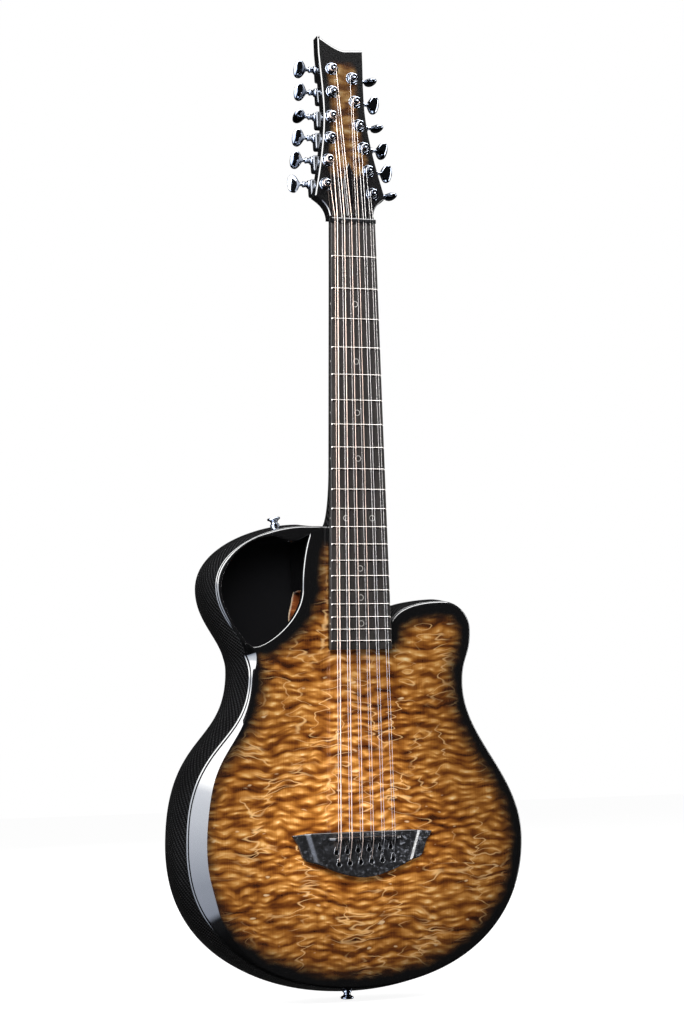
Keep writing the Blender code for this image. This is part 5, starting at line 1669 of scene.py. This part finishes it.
@dataclass(frozen=True)
class Tuners:
    """Posts, buttons and gear cases."""

    post_radius: float = 3.0
    waist_radius: float = 2.6
    above_face: float = 9.0
    journal_radius: float = 1.5
    teeth: int = 14
    pitch: float = 1.7
    tooth: float = 0.35
    worm_radius: float = 2.0
    gear_thickness: float = 4.0
    gap: float = 0.3
    case_height: float = 12.0
    case_floor: float = 2.7
    case_inward: float = 7.5
    case_outward: float = 11.5
    case_down: float = 7.5
    case_up: float = 11.0
    bore_radius: float = 2.85
    seat_radius: float = 1.8
    screw_at: Pair = (4.4, 7.6)
    collar_at: float = 17.0
    head_at: float = 29.0
    head_half_length: float = 6.4
    head_half_height: float = 10.0
    head_half_thickness: float = 3.5
    turns_bass: tuple[float, ...] = (0.0, 35.0, 35.0, 65.0, 35.0, 35.0)
    turns_treble: tuple[float, ...] = (90.0, 28.0, 43.0, 90.0, 32.0, 90.0)
    shaft: Profile = (
        (-3.5, 2.3), (-3.3, 2.9), (-0.25, 2.9), (0.0, 3.1), (0.25, 3.3),
        (1.35, 3.3), (1.6, 3.1), (1.9, 2.1), (3.2, 1.8), (4.9, 1.9))
    head_places: tuple[float, ...] = (-0.95, -0.75, -0.5, -0.15, 0.15, 0.45, 0.7, 0.92, 1.03)
    head_heights: tuple[float, ...] = (0.36, 0.60, 0.82, 0.98, 1.0, 0.95, 0.83, 0.56, 0.25)
    head_depths: tuple[float, ...] = (0.6, 0.72, 0.86, 0.97, 1.0, 0.9, 0.7, 0.4, 0.2)
    sleeve: Profile = (
        (2.5, 0.0), (4.6, 0.0), (4.6, 1.0), (4.2, 1.5), (3.2, 1.8), (2.5, 1.6))
    screw: Profile = (
        (0.0, -1.0), (0.35, -1.0), (1.1, -0.6), (1.6, -0.15), (1.6, 0.4), (0.0, 0.4))

    @property
    def gear_radius(self) -> float:
        """Radius of the gear's pitch circle: its teeth times their pitch over a full turn."""
        return self.teeth * self.pitch / (2 * math.pi)

    @property
    def worm_offset(self) -> float:
        """Distance of the worm's axis from the post's."""
        return self.gear_radius + 0.45 + self.worm_radius

    @property
    def gear_low(self) -> float:
        """Level of the gear's lower face behind the head's back face."""
        return -self.gap - self.case_height + self.case_floor + 0.6

    @property
    def worm_level(self) -> float:
        """Level of the worm's axis, the middle of the gear."""
        return self.gear_low + self.gear_thickness / 2

    def post(self) -> Mesh:
        """Post with its gear, its axis upright at the origin.

        The gear's radius is the pitch radius plus the tooth height times the cosine of the angle
        times the number of teeth. A cross hole takes the string.

        Returns:
            The mesh of both.
        """
        high = self.gear_low + self.gear_thickness
        top = HEAD.thickness + self.above_face
        waist = (top - 6.0, top - 2.0)
        r, w, j = self.post_radius, self.waist_radius, self.journal_radius
        foot = self.gear_low - self.case_floor + 1.3
        profile = [(0.0, top - 0.35), (0.9, top - 0.3), (1.5, top), (r - 0.5, top),
                   (r - 0.15, top - 0.15), (r, top - 0.5), (r, waist[1] + 0.5), (w, waist[1] - 0.2),
                   (w, waist[0] + 0.2), (r, waist[0] - 0.5), (r, high - 1.3), (j, self.gear_low + 1.3),
                   (j, foot), (0.0, foot)]
        stem = Shape().grid(turned(profile, 40)).mesh("post")
        hole = turned([(0.0, -9.0), (0.9, -9.0), (0.9, 9.0), (0.0, 9.0)], 20)[..., [2, 1, 0]]
        hole[..., 2] += waist[1] - 1.2
        stem = cut_from(stem, [Shape().grid(hole).mesh("hole")])
        angle = full_turn(12 * self.teeth)
        radius = self.gear_radius + self.tooth * np.cos(self.teeth * (angle - np.pi / 2))
        bore, flat = (self.journal_radius + 0.1) * circle(angle), radius[:, None] * circle(angle)
        rows = [(bore, self.gear_low), (flat, self.gear_low), (flat, high), (bore, high)]
        rings = np.stack([np.insert(ring, 2, level, axis=1) for ring, level in rows])
        gear = Shape().grid(rings, loop=True).mesh("gear")
        joined = bmesh.new()
        joined.from_mesh(stem)
        joined.from_mesh(gear)
        joined.to_mesh(stem)
        joined.free()
        return stem

    def button(self, side: Side, turn: float) -> Shape:
        """Worm, shaft, collar and oval head along X, from the worm outward.

        The worm's middle goes round a small circle once for each pitch. The head is oval across
        the shaft, with sizes on a smooth curve along it.

        Args:
            side: Row of the tuner.
            turn: Turn of the head about the shaft, in degrees.

        Returns:
            The shape, with the worm's middle at the origin.
        """
        out = np.concatenate([[-5.7], np.linspace(-2.2, -1.7, 3), np.linspace(-1.7, 1.7, 49)[1:], [2.7]])
        wave = 2 * np.pi * out / self.pitch
        swing = self.tooth * np.where(np.abs(out) <= 1.7, 1.0, 0.0)
        radius = np.where(np.abs(out) <= 1.7, self.worm_radius, 1.3)
        shaft = np.array(self.shaft)
        radius[-1] = shaft[0, 1]
        knots = np.array(self.head_places)
        share = np.linspace(knots[0], knots[-1], 34)
        tall = spline(share, knots, self.head_half_height * np.array(self.head_heights))
        thick = spline(share, knots, self.head_half_thickness * np.array(self.head_depths))
        out = np.concatenate([out, self.collar_at + shaft[:, 0],
                              self.head_at + share * self.head_half_length])
        up = np.concatenate([radius, shaft[:, 1], tall])
        front = np.concatenate([radius, shaft[:, 1], thick])
        shift = np.zeros((len(out), 2))
        shift[:len(wave)] = swing[:, None] * circle(wave)
        lean = np.zeros((len(out), 1))
        lean[-len(share):] = math.radians(turn)
        angle = full_turn(32, 0.5)
        a, b = up[:, None] * np.cos(angle), front[:, None] * np.sin(angle)
        return Shape().grid(joined(
            side.value * out[:, None],
            a * np.cos(lean) - b * np.sin(lean) + shift[:, :1],
            a * np.sin(lean) + b * np.cos(lean) + shift[:, 1:]), caps="se")

    def case(self, side: Side) -> Mesh:
        """Rounded gear case with its pocket, seat and bore cut out.

        Args:
            side: Row of the tuner.

        Returns:
            The mesh, with its post's axis at the origin.
        """
        across = sorted((-side.value * self.case_inward, side.value * self.case_outward))
        block = rounded_block("case", (across[0], -self.case_down, -self.gap - self.case_height),
                              (across[1], self.case_up, -self.gap), 2.2, 5)
        low = self.gear_low
        pocket, seat, bore = (
            turned([(0.0, start), (radius, start), (radius, end), (0.0, end)], sides)
            for radius, start, end, sides in (
                (self.gear_radius + 0.95, low - self.gap, 8.0, 32),
                (self.seat_radius, low - self.case_floor + 1, low, 24),
                (self.bore_radius, 1.5 - self.case_inward, self.case_outward + 8, 24),
            )
        )
        bore = bore[..., [2, 0, 1]] * (side.value, 1, 1) + (0.0, self.worm_offset, self.worm_level)
        return cut_from(block, [Shape().grid(form).mesh("form") for form in (pocket, seat, bore)])

    def make_tuners(self) -> None:
        """Twelve tuners: a case, a post that turns with its gear, and a button that drives it."""
        post = self.post()
        cases = {side: self.case(side) for side in Side}
        turns = self.turns_bass + self.turns_treble
        sleeve, screw = turned(self.sleeve, 40)[..., [2, 0, 1]], turned(self.screw, 24)
        extras = Shape()
        for (label, side, x, along), turn in zip(HEAD.posts(), turns):
            place = HEAD.world((x, along, -HEAD.thickness))
            axes = Matrix([[*row, offset * MM] for row, offset in zip(HEAD.axes, place)] + [[0, 0, 0, 1]])
            for name, mesh, look, node, body in (
                (f"gear_case_{label}", cases[side], CASTING, f"tuner_housing_{label}", "instrument"),
                (f"tuner_stem_{label}", post, CHROME, f"string_post_{label}", f"post_{label}"),
            ):
                copy = mesh.copy()
                copy.transform(axes)
                add_piece(name, copy, look, (node,), body, sharp=40.0)
            level = along + self.worm_offset, self.worm_level - HEAD.thickness
            button = self.button(side, turn).placed(HEAD.axes, HEAD.world((x, *level)))
            add_piece(f"tuner_knob_{label}", button, CHROME, (f"tuner_button_{label}",),
                      f"button_{label}", sharp=50.0)
            extras.grid(sleeve * (side.value, 1, 1) + (x + side.value * self.case_outward, *level),
                        loop=True)
            extras.grid(screw + (x - side.value * self.screw_at[0], along + self.screw_at[1],
                                 -HEAD.thickness - self.gap - self.case_height))
        add_piece("case_trim", extras.placed(HEAD.axes, HEAD.origin), CHROME, sharp=40.0)


@dataclass(frozen=True)
class Wire:
    """Number of a string from 0 on the bass side, its radius and its places."""

    number: int
    radius: float
    x_nut: float
    x_saddle: float
    row: float


@dataclass(frozen=True)
class Strings:
    """Twelve strings in six courses, each from the ball under the bridge plate to its post."""

    courses: Profile = (
        (0.69, 1.19), (0.46, 0.99), (0.32, 0.76), (0.30, 0.58), (0.36, 0.36), (0.30, 0.30))
    spread_nut: float = 40.2
    spread_saddle: float = 60.4
    pair: float = 2.7
    rows: Pair = (14.2, 26.6)
    row_slant: float = 3.4
    over_frets_nut: float = 0.5
    over_frets_saddle: float = 3.6
    turns: float = 1.75
    coil_start: float = 3.4
    coil_gap: float = 0.55
    coil_clearance: float = 0.35
    ball: float = 2.0
    ball_levels: tuple[float, ...] = (1.0, 0.85, 0.4, -0.4, -0.85)
    ball_radii: tuple[float, ...] = (0.35, 0.75, 1.0, 1.0, 0.75)
    top_thickness: float = 2.4
    plate_thickness: float = 2.5
    ball_gap: float = 0.9
    post_radius: float = 3.0
    bend: float = 1.2
    plain_to: float = 0.25

    def wires(self) -> list[Wire]:
        """Places of the strings, from the bass side.

        Returns:
            One item for each string.
        """
        found = []
        for course, diameters in enumerate(self.courses):
            share = course / (len(self.courses) - 1) - 0.5
            for place, diameter in enumerate(diameters):
                side = self.pair * (place - 0.5)
                found.append(Wire(2 * course + place, diameter / 2, self.spread_nut * share + side,
                                  self.spread_saddle * share + side,
                                  self.rows[place] - self.row_slant * share))
        return found

    def route(self, wire: Wire) -> tuple[Array, Array]:
        """Stations of one string and its radius at each.

        It rises from the ball through its keyhole, runs over the saddle and the nut to the tangent
        of its post, and climbs round the post in an even coil.

        Args:
            wire: The string.

        Returns:
            Stations in the guitar's frame, and radii.
        """
        radius, x_nut, x_saddle = wire.radius, wire.x_nut, wire.x_saddle
        hole_z = BRIDGE.saddle_z - wire.row + 2.6
        ball_y = BRIDGE.top_y + self.top_thickness + self.plate_thickness + self.ball_gap + self.ball
        crest = NECK.fret_y - self.over_frets_saddle - radius
        nut_y = NECK.fret_y - self.over_frets_nut - radius
        far_nut = NECK.nut_z + HEAD.nut_length
        post = wire.number if wire.number < 6 else 17 - wire.number
        _, side, post_x, post_along = HEAD.posts()[post]
        reach = self.post_radius + self.coil_clearance + radius
        start = HEAD.local((x_nut, nut_y, far_nut))
        dx, ds = start[0] - post_x, start[1] - post_along
        spin = -side.value
        first = math.atan2(ds, dx) + spin * math.acos(reach / math.hypot(dx, ds))
        turns = np.linspace(0, self.turns, 72)
        coil = (post_x, post_along) + reach * circle(first + spin * 2 * np.pi * turns)
        climb = (2 * radius + self.coil_gap) * turns
        coil = HEAD.world(np.column_stack((coil, self.coil_start + radius + climb)))
        lower = rounded_path(np.array([
            (x_saddle, ball_y - self.ball, hole_z),
            (x_saddle, BRIDGE.face_y - 0.4 - radius, hole_z + 0.3),
            (x_saddle, crest + 0.3, BRIDGE.saddle_z - 3.8),
            (x_saddle, crest, BRIDGE.saddle_z - 1.5),
            (x_nut, nut_y, NECK.nut_z - 0.8),
        ]), self.bend)
        share = np.linspace(0, 1, 60)[1:-1, None]
        middle = lower[-2] + (lower[-1] - lower[-2]) * share
        upper = rounded_path(np.array([
            (x_nut, nut_y, NECK.nut_z - 0.8),
            (x_nut, nut_y, far_nut + 0.8),
            coil[0],
        ]), self.bend)
        path = np.vstack([lower[:-1], middle, upper, coil[1:]])
        ball = joined(x_saddle, ball_y + self.ball * np.array(self.ball_levels), hole_z)
        radii = np.concatenate([self.ball * np.array(self.ball_radii), np.full(len(path), radius)])
        return np.vstack([ball, path]), radii

    def make_strings(self) -> None:
        """The strings, bronze wound where they are thick and plain where they are thin."""
        for wire in self.wires():
            path, radii = self.route(wire)
            blend = smooth_step(BRIDGE.saddle_z, NECK.nut_z - 20, path[:, 2])[:, None]
            across = (1 - blend) * np.array([1.0, 0, 0]) + blend * HEAD.axes[:, 2]
            rings = tube(path, radii, 12, across)
            steps = np.linalg.norm(np.diff(path, axis=0), axis=1)
            length = np.concatenate([[0], np.cumsum(steps)])[:, None]
            shape = Shape().grid(rings, caps="se", weave=joined(np.arange(13) * 0.2, length))
            look, label = BRONZE if wire.radius > self.plain_to else WIRE, f"{wire.number + 1:02d}"
            add_piece(f"wire_{label}", shape, look, (f"string_{label}",), sharp=60.0)


BRIDGE = Bridge()


@dataclass(frozen=True)
class StrapButtons:
    """Turned strap buttons at the tail and on the shoulder."""

    profile: Profile = (
        (0.0, -0.5), (1.6, -0.5), (2.0, -0.05), (5.9, 0.0), (6.6, -0.25),
        (7.0, -0.9), (7.0, -1.7), (6.6, -2.4), (5.2, -3.1), (4.1, -4.0),
        (3.6, -5.2), (3.7, -6.2), (4.4, -7.0), (5.0, -7.4), (5.0, -9.3),
        (4.8, -9.5), (2.2, -9.5), (2.2, -21.0), (0.0, -21.5))

    def make_buttons(self) -> None:
        """Place each button by the mount that the record gives for its face."""
        for mount in frame["record"]["mounts"]:
            if not mount["name"].endswith("strap_button"):
                continue
            place, axis = np.array(mount["pos_m"]) / MM, unit(np.array(mount["axis"], float))
            first = unit(np.cross(axis, (0.0, 1.0, 0.0)))
            axes = np.column_stack((first, np.cross(axis, first), axis))
            where = mount["name"].split("_")[0]
            shape = Shape().grid(turned(self.profile, 56)).placed(axes, place)
            add_piece(f"strap_knob_{where}", shape, CHROME, (f"strap_button_{where}",), sharp=40.0)


@dataclass(frozen=True)
class Studio:
    """Camera, lamps, floor and the white around them."""

    camera_place: Place = (-0.91643, -2.53093, 0.33252)
    yaw: float = -20.0
    pitch: float = -3.975
    roll: float = -1.098
    lens: float = 87.89
    sensor: float = 36.0
    ambient: float = 0.12
    floor_glow: float = 0.92
    room_glow: float = 0.012
    arch_glow: float = 11.0
    arch_levels: Profile = (
        (-0.74, 0.0), (-0.66, 0.2), (0.0, 0.34), (0.3, 0.44), (0.62, 0.56), (0.8, 1.0))
    strip_glow: float = 8.0
    blue_lean: Colour = (1.06, 1.0, 0.88)
    floor_half: float = 4000.0
    room_half: float = 3400.0
    room_low: float = -2500.0
    room_high: float = 4500.0
    band_radius: float = 1900.0
    band_level: float = 450.0
    lamps: tuple[tuple, ...] = (
        ("key", (-0.42, -0.95, 0.82), (0.02, -0.05, 0.36), 0.5, 13.0),
        ("fill", (0.9, -1.6, 1.3), (0, 0, 0.5), 0.8, 8.0),
        ("back_light", (-0.6, 2.0, 1.3), (0, 0, 0.5), 1.2, 26.0),
    )

    def make_camera(self) -> None:
        """Camera at the photograph's place and turn.

        Its axes are the rows of the product of the roll, pitch and yaw turns.
        """
        a, b, c = (math.radians(v) for v in (self.yaw, self.pitch, self.roll))
        turn = Matrix.Rotation(c, 3, "Z") @ Matrix.Rotation(b, 3, "X") @ Matrix.Rotation(a, 3, "Y")
        right, down, ahead = (Vector((row[0], row[2], -row[1])) for row in turn)
        data = bpy.data.cameras.new("camera")
        data.sensor_fit = "VERTICAL"
        data.sensor_height = self.sensor
        data.lens = self.lens
        camera = link("camera", data)
        axes = Matrix((right, -down, -ahead)).transposed().to_4x4()
        camera.matrix_world = Matrix.Translation(self.camera_place) @ axes
        bpy.context.scene.camera = camera

    def make_lamps(self) -> None:
        """Area lamps that camera and glossy rays don't see, each with place, aim, size and watts."""
        for name, place, aim, size, power in self.lamps:
            data = bpy.data.lights.new(name, "AREA")
            data.shape = "RECTANGLE"
            data.size, data.size_y = size, size
            data.energy = power
            lamp = link(name, data)
            lamp.location = place
            lamp.rotation_euler = (Vector(aim) - Vector(place)).to_track_quat("-Z", "Y").to_euler()
            lamp.visible_camera = False
            lamp.visible_glossy = False

    def make_world(self) -> None:
        """White world: strength 1 to camera, glossy and transmission rays, and soft light otherwise."""
        world = bpy.data.worlds.new("studio")
        bpy.context.scene.world = world
        graph = Graph(world, "Background")
        rays = graph.node("LightPath", {}).outputs
        seen = graph.math("MAXIMUM", rays["Is Camera Ray"], rays["Is Glossy Ray"])
        seen = graph.math("MAXIMUM", seen, rays["Is Transmission Ray"])
        strength = graph.span(seen, 0.0, 1.0, self.ambient, 1.0, "LINEAR")
        graph.set(Color=(1.0, 1.0, 1.0), Strength=strength)

    def level_sheet(self, half: float, z: float) -> Array:
        """Corners of a level square, as a grid."""
        return joined(np.array([[-half, half]]), np.array([[-half], [half]]), z)

    def make_floor(self) -> None:
        """Pale floor, white to the camera where no shadow falls on it."""
        shape = Shape().grid(self.level_sheet(self.floor_half, 0.0), wrap=False)
        floor = link("floor", shape.mesh("floor", Vector((0, 0, 1))))
        material = bpy.data.materials.new("pale_floor")
        graph = Graph(material)
        seen = graph.node("LightPath", {}).outputs["Is Camera Ray"]
        graph.set(Base_Color=(0.45, 0.45, 0.45), Roughness=0.9, Specular_IOR_Level=0.0,
                  Emission_Color=(1.0, 1.0, 1.0), Emission_Strength=graph.times(seen, self.floor_glow))
        floor.data.materials.append(material)
        floor.visible_glossy = False

    def add_reflection(self, name: str, points: Array, glow: float,
                       levels: Profile = ()) -> None:
        """Add a sheet that only reflections see.

        Args:
            name: Name of the sheet.
            points: Grid of its points, in millimetres.
            glow: Strength of its light, or 0 for black.
            levels: Heights within 2 m of the floor, each with its share of the light, if it varies.
        """
        sheet = link(name, Shape().grid(points, wrap=False).mesh(name))
        material = bpy.data.materials.new(name)
        graph = Graph(material)
        colour = (1.0, 1.0, 1.0)
        if levels:
            height = graph.span(graph.axes(graph.place())[2], -2.0, 2.0, 0.0, 1.0, "LINEAR")
            colour = graph.ramp(height, [((z + 2) / 4, tuple(share ** c for c in self.blue_lean))
                                         for z, share in levels])
        graph.set(Base_Color=(0.0, 0.0, 0.0), Roughness=1.0, Specular_IOR_Level=0.0,
                  Emission_Color=colour, Emission_Strength=glow)
        sheet.data.materials.append(material)
        for ray in ("camera", "diffuse", "transmission", "shadow", "volume_scatter"):
            setattr(sheet, f"visible_{ray}", False)

    def make_reflections(self) -> None:
        """What the gloss shows: a dark room, a bright arch from the left to overhead, and a strip.

        The arch and the strip are bands round an axis along Y. A point's angle goes from the left,
        over the top, to the right.
        """
        across, ahead = self.room_half * circle(np.linspace(0, 2 * np.pi, 65)).T
        room = joined(across, ahead, np.array([[self.room_low], [self.room_high]]))
        self.add_reflection("dark_room", room, self.room_glow)
        self.add_reflection("dark_base", self.level_sheet(self.room_half, self.room_low), 0.0)
        for name, first, last, near, far, glow, levels in (
            ("bright_arch", -40.0, 126.0, -2300.0, 120.0, self.arch_glow, self.arch_levels),
            ("bright_strip", 150.0, 205.0, -380.0, 60.0, self.strip_glow, ()),
        ):
            turn = np.linspace(first, last, 40)
            x, z = self.band_radius * circle(np.radians(turn)).T[..., None]
            start = np.interp(turn, (55, 85), (near, near / 2)) if first < 0 else near
            self.add_reflection(name, joined(-x, joined(start, 0 * turn + far), self.band_level + z),
                                glow, levels)

    def make_studio(self) -> None:
        """Everything round the guitar."""
        self.make_camera()
        self.make_world()
        self.make_floor()
        self.make_reflections()
        self.make_lamps()
        bpy.context.scene.view_settings.view_transform = "Standard"


def dress_cad_nodes() -> None:
    """Give the CAD nodes that stay in sight their own finishes."""
    for name, look in (("bridge_plate", INNER), ("truss_rod", STEEL)):
        mesh = frame["nodes"][name].data
        mesh.materials.clear()
        mesh.materials.append(look.material())
        LOG.info("%s: CAD node in %s", name, look.name)


def main() -> None:
    """Build the studio and every piece of the guitar in order."""
    logging.basicConfig(level=logging.INFO, format="%(name)s: %(message)s")
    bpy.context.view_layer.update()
    Studio().make_studio()
    body = Body()
    body.make_shell()
    body.make_top()
    body.make_inside()
    pieces = NeckPieces()
    pieces.make_neck()
    pieces.make_riser()
    pieces.make_board()
    pieces.make_frets()
    pieces.make_inlays()
    strings = Strings()
    wires = strings.wires()
    pieces.make_nut(np.array([wire.x_nut for wire in wires]), np.array([wire.radius for wire in wires]))
    HEAD.make_head()
    HEAD.make_cover()
    HEAD.make_bushings()
    holes = [(wire.x_saddle, wire.row) for wire in wires]
    BRIDGE.make_bridge(holes)
    BRIDGE.make_rims(holes)
    BRIDGE.make_saddle()
    Tuners().make_tuners()
    strings.make_strings()
    StrapButtons().make_buttons()
    dress_cad_nodes()


if __name__ == "__main__":
    main()
